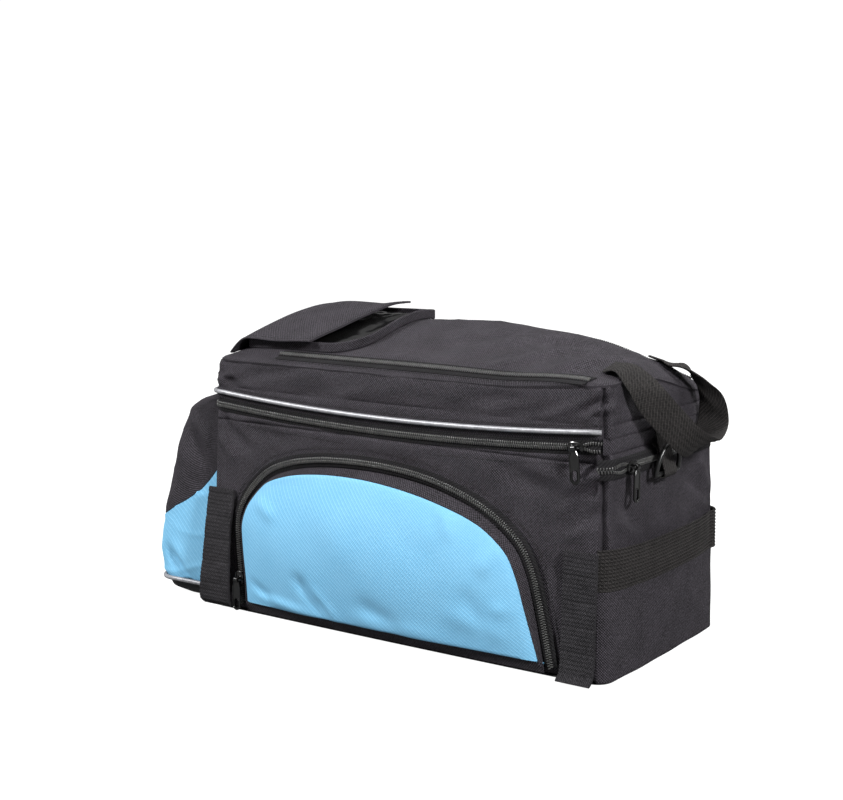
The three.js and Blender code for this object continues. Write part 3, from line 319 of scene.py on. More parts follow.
def creases(a, b, size, seed):
    """Thin uneven ridges: where a soft wave passes through zero, its folded height peaks."""
    return np.exp(-(ripple(a, b, size, seed) / 0.16) ** 2) * (0.6 + 0.4 * ripple(a, b, size, seed + 1))


def folds(a, b, table):
    """Height of folds: each row is a line from (a0, b0) to (a1, b1) with a height and a width.
    The height falls off as a bell across the line and as a soft hump along it."""
    total = np.zeros(np.broadcast(a, b).shape)
    for a0, b0, a1, b1, height, width in table:
        run = np.array([a1 - a0, b1 - b0])
        length = np.hypot(*run)
        s = ((a - a0) * run[0] + (b - b0) * run[1]) / length**2
        d = ((b - b0) * run[0] - (a - a0) * run[1]) / length
        hump = ease(s, -0.15, 0.3) * (1 - ease(s, 0.65, 1.15))
        total += height * hump * np.exp(-(d / width) ** 2)
    return total


# %% [markdown]
# Cloth is read close up, so its finish comes from threads. One group draws a weave on the piece's
# own UV map, which is in metres, so a thread has its real width everywhere. A second group gives
# the slow fading that every used or dyed cloth shows.

# %% Weave and fading groups
def node(tree, kind, sockets=None, **settings):
    """A node with its settings; each socket takes a value or the output of another node."""
    made = tree.nodes.new(kind)
    for key, value in settings.items():
        setattr(made, key, value)
    for key, value in (sockets or {}).items():
        if isinstance(value, bpy.types.NodeSocket):
            tree.links.new(value, made.inputs[key])
        else:
            made.inputs[key].default_value = value
    return made


def calculate(tree, operation, *values):
    """The output of one arithmetic node."""
    return node(tree, "ShaderNodeMath", dict(enumerate(values)), operation=operation).outputs[0]


def new_group(name, inputs, outputs):
    """An empty node group with its sockets, and its input and output nodes."""
    group = bpy.data.node_groups.new(name, "ShaderNodeTree")
    for title, kind, value in inputs:
        socket = group.interface.new_socket(title, in_out="INPUT", socket_type=f"NodeSocket{kind}")
        if value is not None:
            socket.default_value = value
    for title, kind in outputs:
        group.interface.new_socket(title, in_out="OUTPUT", socket_type=f"NodeSocket{kind}")
    return group, group.nodes.new("NodeGroupInput"), group.nodes.new("NodeGroupOutput")


def weave_group():
    """Threads over and under: the product of two sine waves, leaning towards a diagonal line where
    Slant is 1. Shade adds a random lightness for each short stretch of thread."""
    group, start, end = new_group(
        "weave", [("Place", "Vector", None), ("Pitch", "Float", 0.001), ("Slant", "Float", 0.0)],
        [("Height", "Float"), ("Shade", "Float")])
    count = calculate(group, "DIVIDE", 1.0, start.outputs["Pitch"])
    scaled = node(group, "ShaderNodeVectorMath", {0: start.outputs["Place"], "Scale": count},
                  operation="SCALE")
    parts = node(group, "ShaderNodeSeparateXYZ", {0: scaled.outputs[0]})
    x, y = parts.outputs[0], parts.outputs[1]
    wave = [calculate(group, "SINE", calculate(group, "MULTIPLY", c, 2 * math.pi))
            for c in (x, y)]
    plain = calculate(group, "MULTIPLY", wave[0], wave[1])
    diagonal = calculate(group, "ADD", x, y)
    slant = calculate(group, "SINE", calculate(group, "MULTIPLY", diagonal, math.pi))
    mixed = node(group, "ShaderNodeMix", {0: start.outputs["Slant"], 2: plain, 3: slant})
    height = calculate(group, "MULTIPLY_ADD", mixed.outputs[0], 0.5, 0.5)
    grain = node(group, "ShaderNodeTexNoise", {"Vector": scaled.outputs[0], "Scale": 1.1,
                                                "Detail": 2.0, "Roughness": 0.7})
    shade = calculate(group, "ADD", calculate(group, "MULTIPLY", height, 0.45),
                      calculate(group, "MULTIPLY", grain.outputs[0], 0.55))
    group.links.new(height, end.inputs["Height"])
    group.links.new(shade, end.inputs["Shade"])
    return group


def fading_group():
    """Slow clouds of lighter and darker cloth, from noise of a chosen size."""
    group, start, end = new_group("fading", [("Size", "Float", 0.05), ("Contrast", "Float", 1.0)],
                                  [("Mask", "Float")])
    place = node(group, "ShaderNodeTexCoord")
    noise = node(group, "ShaderNodeTexNoise", {
        "Vector": place.outputs["Object"], "Detail": 4.0, "Roughness": 0.6,
        "Scale": calculate(group, "DIVIDE", 1.0, start.outputs["Size"])})
    centred = calculate(group, "MULTIPLY", calculate(group, "SUBTRACT", noise.outputs[0], 0.5),
                        start.outputs["Contrast"])
    group.links.new(calculate(group, "ADD", centred, 0.5), end.inputs["Mask"])
    return group


weave, fading = weave_group(), fading_group()
print("node groups:", len(bpy.data.node_groups))

# %% [markdown]
# The bag has three kinds of black, blue cloth, and small parts in nylon, metal and plastic. A flat
# colour would read as moulded plastic, so every finish runs between a dark and a light value, by
# the shade of its threads and by the slow fading. The threads also lift the surface a little.

# %% Finishes
def finish(name, dark, light, roughness, pitch=None, slant=0.0, relief=0.0002, strength=0.5,
           cloud=0.04, cloud_share=0.5, specular=0.5, **shader):
    """A finish whose colour runs from dark to light with thread shade and slow fading. Without a
    pitch it has no threads and only a fine grain."""
    material = bpy.data.materials.new(name)
    material.use_nodes = True
    tree = material.node_tree
    surface = tree.nodes["Principled BSDF"]
    surface.inputs["Specular IOR Level"].default_value = specular
    for key, value in shader.items():
        surface.inputs[key.replace("_", " ").title()].default_value = value
    clouds = node(tree, "ShaderNodeGroup", {"Size": cloud, "Contrast": 2.0}, node_tree=fading)
    place = node(tree, "ShaderNodeTexCoord")
    if pitch:
        threads = node(tree, "ShaderNodeGroup", {"Place": place.outputs["UV"], "Pitch": pitch,
                                                 "Slant": slant}, node_tree=weave)
        height, shade = threads.outputs["Height"], threads.outputs["Shade"]
    else:
        grain = node(tree, "ShaderNodeTexNoise", {"Vector": place.outputs["Object"],
                                                  "Scale": 900.0, "Detail": 3.0})
        height = shade = grain.outputs[0]
    spread = node(tree, "ShaderNodeMapRange", {0: shade, 1: 0.40, 2: 0.70})
    mask = node(tree, "ShaderNodeMix", {0: cloud_share, 2: spread.outputs[0],
                                        3: clouds.outputs["Mask"]})
    colour = node(tree, "ShaderNodeMix", {0: mask.outputs[0], 6: (*dark, 1), 7: (*light, 1)},
                  data_type="RGBA")
    rough = node(tree, "ShaderNodeMapRange", {0: shade, 3: roughness - 0.08, 4: roughness + 0.08})
    bump = node(tree, "ShaderNodeBump", {"Strength": strength, "Distance": relief,
                                         "Height": height})
    tree.links.new(colour.outputs[2], surface.inputs["Base Color"])
    tree.links.new(rough.outputs[0], surface.inputs["Roughness"])
    tree.links.new(bump.outputs[0], surface.inputs["Normal"])
    return material


black_cloth = finish("black_cloth", (0.0, 0.0, 0.0), (0.070, 0.062, 0.075), 0.75,
                     pitch=0.0021, relief=0.0009, strength=0.7, cloud=0.02, cloud_share=0.2,
                     specular=0.2)
blue_cloth = finish("blue_cloth", (0.14, 0.38, 0.585), (0.225, 0.485, 0.69), 0.75, pitch=0.0021,
                    slant=0.4, relief=0.0005, strength=0.5, cloud=0.03, cloud_share=0.25,
                    specular=0.2)
webbing = finish("webbing", (0.002, 0.0018, 0.0018), (0.044, 0.040, 0.039), 0.8, pitch=0.0017,
                 slant=0.35, relief=0.0008, strength=0.7, cloud=0.02, cloud_share=0.2,
                 specular=0.2)
hook_and_loop = finish("hook_and_loop", (0.001, 0.001, 0.0012), (0.050, 0.047, 0.052), 0.9,
                       pitch=0.0019, slant=0.1, relief=0.0009, strength=0.7, cloud=0.015,
                       cloud_share=0.25, specular=0.15)
zip_tape = finish("zip_tape", (0.001, 0.001, 0.001), (0.022, 0.021, 0.023), 0.85, pitch=0.0015,
                  slant=1.0, relief=0.0004, specular=0.15)
zip_coil = finish("zip_coil", (0.022, 0.022, 0.022), (0.105, 0.105, 0.10), 0.3, cloud=0.01,
                  strength=0.1, specular=0.9)
coated_cloth = finish("coated_cloth", (0.002, 0.002, 0.0025), (0.010, 0.010, 0.011), 0.42,
                      pitch=0.0018, relief=0.0002, cloud=0.03, specular=0.3)
reflective = finish("reflective_edging", (0.14, 0.14, 0.15), (0.42, 0.42, 0.44), 0.4,
                    cloud=0.006, strength=0.25, relief=0.0001, metallic=0.2)
black_metal = finish("black_metal", (0.001, 0.001, 0.001), (0.005, 0.005, 0.005), 0.2,
                     cloud=0.004, strength=0.06, relief=0.0001, specular=0.7)
black_plastic = finish("black_plastic", (0.003, 0.003, 0.003), (0.010, 0.010, 0.010), 0.32,
                       cloud=0.006, strength=0.08, relief=0.0001)
clear_vinyl = finish("clear_vinyl", (0.002, 0.002, 0.002), (0.008, 0.008, 0.008), 0.2,
                     cloud=0.02, strength=0.05, coat_weight=0.5, coat_roughness=0.08, alpha=0.85)
thread = finish("thread", (0.003, 0.003, 0.003), (0.022, 0.021, 0.023), 0.7, cloud=0.01,
                strength=0.2, specular=0.2)
white_floor = finish("white_floor", (0.17, 0.17, 0.17), (0.20, 0.20, 0.20), 0.9, cloud=0.3,
                     strength=0.02, specular=0.0, emission_color=(1, 1, 1, 1))
glow = node(white_floor.node_tree, "ShaderNodeLightPath").outputs["Is Camera Ray"]
white_floor.node_tree.links.new(
    glow, white_floor.node_tree.nodes["Principled BSDF"].inputs["Emission Strength"])
print("finishes:", len(bpy.data.materials))

# %% [markdown]
# The floor is a plain square far larger than the view. It only catches the bag's soft shadow. Every
# piece of the bag then goes through one function, which gives it its finish and its body.

# %% Floor, and how a piece is dressed
FLOOR_REACH, FLOOR_LEVEL = 6000, -0.4
floor_corners = np.array([[x, y, FLOOR_LEVEL] for y in (-FLOOR_REACH, FLOOR_REACH)
                          for x in (-FLOOR_REACH, FLOOR_REACH)])
floor = put_mesh("floor", floor_corners, np.array([[0, 1, 3, 2]]))
floor.data.materials.append(white_floor)


def dress(piece, material, slot, *nodes, body="bag"):
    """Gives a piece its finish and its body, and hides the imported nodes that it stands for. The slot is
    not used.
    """
    piece.data.materials.append(material)
    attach(piece, body)
    if nodes:
        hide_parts(*nodes)
    print(f"{piece.name}: {len(piece.data.polygons)} faces")


# %% [markdown]
# The bag's body is a box with round upright corners. Its walls lean, bulge and sag a little, so
# each wall is a formula of the place along it and the height. Everything sewn to the body, such as
# zips, pockets and straps, is placed by the same two formulas.

# %% Walls of the body
GAP = 0.3
LENGTH, WIDTH, CORNER, FLARE = 380, 183, 13, 3.2
BASE, CLOTH, TUB, SLOT, SAG = 2.4, 2.0, 170.5, 12.2, 7
SIDE_BULGE, END_BULGE = 4.5, 3
LID_EDGE, REAR_RISE, FRONT_RISE, REAR_DROP, LEAN, CROWN = 213.5, 8, 6, 22, 2.4, 25
SEAM = TUB + SLOT


def half_length(z):
    """Half the body's length, more towards the foot."""
    return LENGTH / 2 + FLARE * (1 - z / TUB)


def half_width(z):
    """Half the body's width, more towards the foot."""
    return WIDTH / 2 + FLARE * (1 - z / TUB)


def bulge(z):
    """Share of a wall's bulge at a height: full at half the tub's height."""
    return 0.35 + 0.65 * np.sin(np.pi * np.clip(z / TUB, 0, 1))


def lean(z):
    """How far the lid's band leans in."""
    return LEAN * ease(z, SEAM, LID_EDGE)


def long_wall(side, x, z):
    """A long wall: half the width plus a bulge that fades to the corners; long seams sag between."""
    x, z = np.broadcast_arrays(np.asarray(x, float), np.asarray(z, float))
    t = np.clip(x / (half_length(z) - CORNER), -1, 1)
    y = side * (half_width(z) - lean(z) + SIDE_BULGE * bulge(z) * (1 - t * t))
    return np.stack([x, y, z - SAG * ease(z, 0, TUB) * (1 - t * t)], axis=-1)


def end_wall(end, y, z):
    """An end wall, with its own slight bulge."""
    y, z = np.broadcast_arrays(np.asarray(y, float), np.asarray(z, float))
    t = np.clip(y / (half_width(z) - CORNER), -1, 1)
    x = end * (half_length(z) - lean(z) + END_BULGE * bulge(z) * (1 - t * t))
    return np.stack([x, y, z], axis=-1)


LONG, END, ROUND = 110, 52, 16
RIGHT_FIRST, RIGHT_LAST = LONG + 1, LONG + 2 * ROUND - 1 + END


def outline(heights):
    """Turns round the body at several heights: front, right end, back, left end."""
    z = np.atleast_1d(np.asarray(heights, float))[:, None]
    reach_x, reach_y = half_length(z) - CORNER, half_width(z) - CORNER
    a, b = np.linspace(-1, 1, LONG + 1), np.linspace(-1, 1, END + 1)
    q = np.linspace(0, np.pi / 2, ROUND + 1)[1:-1]

    def bend(sx, sy, start):
        """One round corner, without its two end columns."""
        radius = CORNER - lean(z)
        return np.stack([sx * reach_x + radius * np.cos(start + q),
                         sy * reach_y + radius * np.sin(start + q), z + 0 * q], axis=-1)

    return np.concatenate([
        long_wall(-1, a * reach_x, z), bend(1, -1, -np.pi / 2), end_wall(1, b * reach_y, z),
        bend(1, 1, 0), long_wall(1, -a * reach_x, z), bend(-1, 1, np.pi / 2),
        end_wall(-1, -b * reach_y, z), bend(-1, -1, np.pi)], axis=1)


def corner_columns():
    """Column numbers of the middles of the four corners."""
    right = LONG + ROUND // 2
    return right + np.array([0, END + ROUND, END + LONG + 2 * ROUND, 2 * END + LONG + 3 * ROUND])


# %% [markdown]
# The tub is one closed ring of cloth. Four upright seams pull its corners into narrow grooves with
# a lip on each side. Its folds run where the photo shows them, at the upper corners of the front
# and below the end zip: each row of a table is one fold, with its ends, its height and its width.

# %% Base and tub
FOLD_DEPTH = 1.5
TUB_SEAM = TUB - 7
tub_folds = [
    (-178, 168, -146, 138, -2.6, 5), (-170, 169, -154, 140, 2.0, 3.5),
    (-182, 150, -160, 128, 1.6, 5), (-150, 163, -100, 150, -1.2, 6),
    (188, 168, 152, 156, -2.4, 4.5), (186, 160, 154, 140, 2.6, 4.5),
    (188, 152, 158, 124, -2.6, 5), (180, 143, 148, 122, 2.2, 5), (188, 132, 160, 112, -1.8, 5),
    (176, 122, 158, 104, 1.5, 4), (120, 158, 170, 148, 1.4, 6), (96, 152, 150, 138, -1.4, 7),
    (60, 158, 120, 140, 1.0, 8), (-40, 160, 40, 156, 0.9, 6), (150, 90, 168, 60, -1.2, 7),
]
end_folds = [
    (-80, 140, -40, 110, -1.6, 7), (-78, 122, -44, 104, 1.5, 5), (20, 146, 70, 112, -1.4, 9),
    (60, 150, 84, 116, 1.4, 6), (-20, 140, 20, 112, 1.0, 9), (30, 132, 80, 104, 1.2, 5),
    (-70, 60, -20, 20, -0.8, 12), (20, 66, 70, 30, 0.8, 12),
]


def groove(columns, total, centres, depth, lip):
    """A seam seen across columns: a narrow valley between two soft lips."""
    away = np.abs(columns[None, :] - centres[:, None])
    away = np.minimum(away, total - away)
    return (-depth * np.exp(-(away / 1.2) ** 2) + lip * np.exp(-((away - 3.6) / 1.6) ** 2)).sum(0)


def valley(height, seam, depth):
    """The narrow furrow along a level seam."""
    return -depth * np.exp(-((height - seam) / 1.1) ** 2)


def add_tub():
    """Rows of the tub from its foot to the zip, with folds, corner grooves and one level seam."""
    z = np.concatenate([[BASE + GAP, BASE + GAP + 1, BASE + GAP + 2.2],
                        np.linspace(7, TUB - 15, 70), np.linspace(TUB - 13.5, TUB, 16)])
    ring = outline(z)
    columns = np.arange(ring.shape[1])
    normals = grid_normals(ring, True)
    x, y, height = ring[..., 0], ring[..., 1], ring[..., 2]
    front = (y < -80) & (np.abs(x) < 188)
    right = (x > 185) & (np.abs(y) < 86)
    push = np.where(front, FOLD_DEPTH * folds(x, height, tub_folds), 0)
    push = push + np.where(right, FOLD_DEPTH * folds(y, height, end_folds), 0)
    push = push + 0.5 * np.minimum(ripple(x + y, height, 55, 3), 0)
    high = ease(height, 80, 150)
    push = push + high * (0.9 * creases(x + y, height, 60, 61) - 0.5)
    push = push + groove(columns, ring.shape[1], corner_columns(), 3.2, 1.7)[None, :]
    push = push + valley(height, TUB_SEAM, 1.5)
    push = push - 1.4 * np.exp(-((height - BASE) / 2.2) ** 2) - 0.8 * ease(height, TUB - 4, TUB)
    return cloth_piece("tub_cloth", ring + push[..., None] * normals, CLOTH, wrap=True)


def add_base():
    """The base is a flat round-edged plate: rings that swell at half its thickness."""
    edge = outline([0])[0]
    share = np.array([0.5, 0.97, 0.994, 1.0, 0.994, 0.97, 0.5])[:, None, None]
    z = np.array([0, 0, 0.5, 1.2, 1.9, BASE, BASE])[:, None, None]
    rings = edge[None] * np.array([1, 1, 0]) * share + z * np.array([0, 0, 1])
    quads, _, _ = loop_quads(len(z), len(edge), False, True)
    points = np.concatenate([rings.reshape(-1, 3), [[0, 0, 0], [0, 0, BASE]]])
    fans = end_fans(len(z), len(edge))
    uv = np.concatenate([points[quads.ravel()][:, :2], points[fans.ravel()][:, :2]])
    return put_mesh("base_plate", points, quads, fans, uv)


dress(add_base(), coated_cloth, "coated_cloth", "base_panel")
dress(add_tub(), black_cloth, "black_cloth", "main_body")

# %% [markdown]
# The lid is a band and a domed top. The top is a height over the plan: an edge height that rises
# and drops with the corners, plus a crown from two curves. Long soft folds run over it, because
# nothing stretches it from inside.

# %% Lid
BAND_SEAM = SEAM + 9
LID_LENGTH = half_length(LID_EDGE) - LEAN
LID_WIDTH = half_width(LID_EDGE) - LEAN
crown_along = np.array([[-1, 0], [-0.93, 0.62], [-0.8, 0.9], [-0.5, 0.97], [-0.1, 1], [0.2, 0.98],
                        [0.4, 0.87], [0.6, 0.72], [0.8, 0.64], [0.93, 0.5], [1, 0]])
crown_across = np.array([[0, 0], [0.07, 0.17], [0.3, 0.62], [0.5, 0.92], [0.64, 1], [0.8, 0.84],
                         [0.93, 0.4], [1, 0]])
lid_folds = [
    (70, -74, 128, -8, 3.0, 9), (40, -44, 104, 40, 2.2, 10), (124, -62, 182, -20, 3.2, 7),
    (100, -74, 176, -50, -2.6, 7), (20, -74, 90, -66, -1.6, 6), (150, 0, 182, 40, -2.6, 9),
    (-40, -70, 20, -62, 1.4, 7), (84, -10, 150, 30, -2.6, 11), (150, -66, 180, -56, 1.8, 4),
    (-30, 0, 30, 66, 1.4, 14), (96, -40, 160, 10, 1.6, 7), (0, -50, 60, 10, -1.2, 10),
]


def lid_edge(x, y):
    """Height of the lid's edge, which rises to the rear and drops at the rear right corner."""
    right = ease(x, 0.45 * LID_LENGTH, LID_LENGTH)
    rear = ease(y, -0.6 * LID_WIDTH, LID_WIDTH)
    rise = REAR_RISE * np.clip((y / LID_WIDTH + 1) / 2, 0, 1)
    return LID_EDGE + rise + FRONT_RISE * right * (1 - rear) - REAR_DROP * right * rear


def lid_top(x, y):
    """The lid's top surface: its edge height plus the product of the two crown curves."""
    x, y = np.broadcast_arrays(np.asarray(x, float), np.asarray(y, float))
    along = np.maximum(hermite(crown_along[:, 0], crown_along[:, 1], x / LID_LENGTH), 0)
    across = np.maximum(hermite(crown_across[:, 0], crown_across[:, 1], (y / LID_WIDTH + 1) / 2), 0)
    return np.stack([x, y, lid_edge(x, y) + 2 * GAP + CROWN * along * across], axis=-1)


def lid_relief(x, y):
    """Folds and slow ripples of the top, kept off the parts where zips and pocket are sewn down."""
    free = 1 - ease(np.abs(y), LID_WIDTH - 26, LID_WIDTH - 20)
    clear = ease(x, -56, -40)
    wrinkles = 0.8 * ripple(x, y, 70, 5) + 0.9 * creases(x, y, 80, 63)
    return free * clear * (FOLD_DEPTH * folds(x, y, lid_folds) + wrinkles)


def on_lid(x, y, rise):
    """A place above the lid's cloth."""
    x, y, rise = np.broadcast_arrays(np.asarray(x, float), y, rise)
    return lid_top(x, y) + (CLOTH + rise)[..., None] * np.array([0, 0, 1])


def add_lid_top():
    """The lid's domed top. Its rows lie closer together near the edges, where it turns down."""
    y = np.sin(np.linspace(-np.pi / 2, np.pi / 2, 62)) * LID_WIDTH
    past = np.clip(np.abs(y) - (LID_WIDTH - CORNER), 0, CORNER)
    reach = LID_LENGTH - CORNER + np.sqrt(CORNER**2 - past**2)
    x = np.sin(np.linspace(-np.pi / 2, np.pi / 2, 150))[None, :] * reach[:, None]
    grid = lid_top(x, y[:, None])
    grid = grid + grid_normals(grid) * (CLOTH + lid_relief(x, y[:, None]))[..., None]
    edge = np.maximum(ease(np.abs(y)[:, None], LID_WIDTH - 3, LID_WIDTH),
                      ease(np.abs(x), reach[:, None] - 3, reach[:, None]))
    grid[..., 2] -= 1.2 * edge
    return cloth_piece("lid_top_cloth", grid, CLOTH)


band_folds = [
    (188, 212, 166, 204, -2.4, 3), (189, 206, 168, 197, 2.4, 3), (189, 198, 162, 203, -1.8, 3),
    (-150, 205, -90, 212, -1.4, 4), (-60, 196, 20, 206, 1.2, 6), (60, 200, 130, 210, -1.5, 5),
    (136, 195, 176, 210, 1.6, 4), (-186, 205, -160, 192, -2.0, 4), (-100, 192, -40, 200, -1.0, 6),
    (-186, 196, -164, 206, 1.6, 3), (20, 207, 90, 198, 1.0, 5), (100, 194, 150, 202, -1.2, 4),
]


def add_lid_band():
    """The upright band between the zip and the lid's top."""
    lower, middle, upper = outline([SEAM, (SEAM + LID_EDGE) / 2, LID_EDGE])
    k = np.linspace(0, 1, 22)[:, None, None]
    plan = np.where(k < 0.5, blend(lower, middle, 2 * k), blend(middle, upper, 2 * k - 1))
    top = lid_edge(upper[:, 0], upper[:, 1])
    plan[..., 2] = blend(lower[None, :, 2], top[None, :], k[..., 0])
    normals = grid_normals(plan, True)
    x, y, height = plan[..., 0], plan[..., 1], plan[..., 2]
    push = np.where((y < -76) & (np.abs(x) < 189), FOLD_DEPTH * folds(x, height, band_folds), 0)
    loose = ease(height, 194, 202)
    push = push + loose * (0.8 * ripple(x + 0.5 * y, height * 1.5, 60, 8)
                           + 0.9 * creases(x + y, height * 1.6, 50, 65))
    push = push + groove(np.arange(plan.shape[1]), plan.shape[1], corner_columns(), 2.8, 1.7)
    push = push + valley(height, BAND_SEAM, 1.2)
    push = push - 1.0 * ease(k[..., 0], 0.88, 1)
    return cloth_piece("lid_band_cloth", plan + push[..., None] * normals, CLOTH, wrap=True)


def add_lid_hinge():
    """The strip of cloth at the right end that joins the band to the tub."""
    ring = outline(np.linspace(TUB + GAP, SEAM - 2 * GAP, 8))
    grid = ring[:, RIGHT_FIRST + 6:RIGHT_LAST - 5]
    grid = grid + grid_normals(grid) * (-0.6 * np.abs(np.linspace(-1, 1, 8)) ** 3)[:, None, None]
    return cloth_piece("lid_hinge_cloth", grid, CLOTH)


dress(add_lid_top(), black_cloth, "black_cloth", "lid_top")
dress(add_lid_band(), black_cloth, "black_cloth", "lid_band")
dress(add_lid_hinge(), black_cloth, "black_cloth", "lid_hinge_strip")

# %% [markdown]
# A coil zip is a flat tape with two rows of nylon loops that mesh along its middle. Each loop is a
# short round bar that reaches from its own side just past the middle, half a pitch after its
# neighbour on the other side. Hundreds of equal bars are copied as arrays along the zip's path.

# %% Zips
TAPE, CHAIN, CHAIN_HALF, COIL_STEP, COIL = 1.2, 2.4, 3.0, 0.95, (2.7, 1.1, 1.9)
STITCH_STEP, STITCH_LENGTH, STITCH_WIDTH, STITCH_LIFT, TAPE_SEAM = 3.4, 2.4, 0.55, 0.1, 1.8
EDGING, EDGING_RISE = 1.9, 5
MAIN_SLIDER, TOP_ZIP, TOP_ZIP_INSET, TOP_ZIP_END, TOP_ZIP_REACH = 166, 16, 13, 16, 296


def resample(points, outs, step):
    """The same path at equal steps, with its outward directions."""
    length = np.append(0, np.cumsum(np.linalg.norm(np.diff(points, axis=0), axis=1)))
    want = np.linspace(0, length[-1], max(int(length[-1] / step), 3))
    both = np.concatenate([points, outs], axis=1)
    moved = np.stack([np.interp(want, length, both[:, k]) for k in range(6)], axis=1)
    return moved[:, :3], unit(moved[:, 3:])


def stitches(name, points, outs):
    """A seam: one small grain of thread for each stitch along a path."""
    places, up = resample(points, outs, STITCH_STEP)
    across, out, tangent = path_frames(places, up)
    shape, faces = bead(STITCH_LENGTH, STITCH_WIDTH, STITCH_WIDTH, rings=3)
    axes = np.stack([tangent, across, out], axis=1)
    piece = repeated_piece(name, shape, faces, places + out * STITCH_LIFT, axes)
    dress(piece, thread, "zip_tape")


def add_zip(name, points, outs, width, opening=None, lift=GAP):
    """Tape, coil and stitching of one zip. opening gives how far apart the rows lie along it."""
    tape, top = width / 2, lift + TAPE
    right = np.array([[tape, lift], [tape, top - 0.2], [tape - 0.5, top], [CHAIN_HALF, top],
                      [CHAIN_HALF - 0.3, top + 0.7], [1.2, top + 0.8]])
    profile = np.concatenate([[[-tape, lift]], right, [[0, top + 0.55]],
                              right[:0:-1] * np.array([-1, 1])])
    body = swept_piece(f"{name}_tape", *resample(points, outs, 2.2), profile)
    dress(body, zip_tape, "zip_tape", name)
    places, up = resample(points, outs, COIL_STEP)
    across, out, tangent = path_frames(places, up)
    side = np.where(np.arange(len(places)) % 2 == 0, 1.0, -1.0)
    apart = np.zeros(len(places)) if opening is None else opening(places)
    tilt = unit(across + 0.18 * side[:, None] * tangent)
    centre = places + across * (side * (1.1 + apart))[:, None] + out * (top + 1.1)
    shape, faces = bead(*COIL, rings=4)
    axes = np.stack([tilt, unit(np.cross(out, tilt)), out], axis=1)
    dress(repeated_piece(f"{name}_coil", shape, faces, centre, axes), zip_coil, "zip_tape")
    for edge, title in ((-1, "lower"), (1, "upper")):
        stitches(f"{name}_{title}_stitches",
                 *beside(points, outs, edge * (tape - TAPE_SEAM), top))


def beside(points, outs, sideways, lift):
    """A line beside a path: moved across it and lifted off it."""
    across, out, _ = path_frames(points, outs)
    return points + across * sideways + out * lift, out


def round_path(z, past=6):
    """Over the back, the left end and the front at one height, from rear right to front right. It
    goes a few columns past the start of each right corner, to the corner's seam."""
    ring = outline([z - 1, z, z + 1])
    order = np.arange(RIGHT_LAST + 1 - past, ring.shape[1] + LONG + 1 + past) % ring.shape[1]
    return ring[1][order], grid_normals(ring, True)[1][order]


def main_opening(places):
    """The main zip is open between its slider and the front right corner, in a lens shape."""
    start = MAIN_SLIDER + 5
    share = (places[:, 0] - start) / (LENGTH / 2 - start)
    lens = np.sin(np.pi * np.clip(share, 0, 1)) * 1.9
    return np.where(places[:, 1] < 0, lens, 0)


add_zip("main_zip", *round_path(TUB + SLOT / 2), SLOT - 2 * GAP, main_opening, lift=-CLOTH)

edging, edging_out = round_path(SEAM + EDGING_RISE)
dress(swept_piece("front_edging", *resample(edging + edging_out * (EDGING + GAP), edging_out, 3),
                  circle(EDGING, 10)), reflective, "reflective_edging", "reflective_piping")
for height, title in ((TUB_SEAM, "tub"), (SEAM + 1.6, "lid_lower"), (BAND_SEAM, "lid_upper")):
    stitches(f"{title}_seam", *round_path(height))


def lid_path(side):
    """Where a top zip lies on the lid. In plan it is straight, and bends out near its right end."""
    right, bend, bend_out = LID_LENGTH - TOP_ZIP_END, 60, 8
    x = np.linspace(right - TOP_ZIP_REACH, right, 160)
    past = (x - right + bend).clip(0) / bend
    y = side * (LID_WIDTH - TOP_ZIP_INSET + bend_out * past**2)
    along = lid_top(x + 1, y) - lid_top(x - 1, y)
    across = lid_top(x, y + 1) - lid_top(x, y - 1)
    out = unit(np.cross(along, across))
    return lid_top(x, y) + out * (CLOTH + 2 * GAP), out


for side, title in ((-1, "front"), (1, "back")):
    path, out = lid_path(side)
    add_zip(f"top_zip_{title}", path, out, TOP_ZIP, lift=-1.1)
    stitches(f"top_zip_{title}_welt",
             *beside(path[:-8], out[:-8], side * (TOP_ZIP / 2 + 2.5), -GAP))

# %% [markdown]
# An arch pocket is a dark border that climbs from the zip to a blue panel. The arch is one smooth
# line through chosen places. Moving it inwards gives the border's rows, and a patch between its
# left, top and right sides gives the panel, which swells most above its middle.

# %% Arch pockets
POCKET_MIDDLE, POCKET_HALF, POCKET_HEIGHT, POCKET_FOOT, POCKET_ZIP_FOOT = -3.75, 153.75, 143.8, 12, 8
POCKET_DEPTH, POCKET_CROWN, BORDER, POCKET_ZIP = 10, 11, 7, 11
arch_shares = np.array([
    [-0.975, 0.05], [-0.98, 0.23], [-0.993, 0.41], [-0.997, 0.545], [-0.975, 0.632],
    [-0.926, 0.725], [-0.78, 0.873], [-0.613, 0.946], [-0.4, 0.986], [-0.16, 1], [0.05, 0.994],
    [0.252, 0.969], [0.407, 0.93], [0.579, 0.865], [0.726, 0.774], [0.831, 0.668],
    [0.893, 0.533], [0.936, 0.366], [0.973, 0.189], [1, 0.05]])
arch_places = np.stack([POCKET_MIDDLE + arch_shares[:, 0] * POCKET_HALF,
                        arch_shares[:, 1] * POCKET_HEIGHT], axis=1)
ARCH_SIDE, ARCH_TOP = 60, 110
arch = even_path(arch_places, 2 * ARCH_SIDE + ARCH_TOP + 1)
arch_way = unit(np.gradient(arch, axis=0))
arch_border = np.array([
    [0, 0.15, 0.6], [0.1, 0.35, 0.9], [0.25, 0.4, 1], [0.45, 0.6, 1], [0.62, 1, 0.95],
    [0.76, 0.75, 0.85], [0.9, 0.65, 0.75], [1, 0.1, 0.5]])
border_run, border_rise = hermite(arch_border[:, 0], arch_border[:, 1:],
                                  np.linspace(0, 1, len(arch))).T


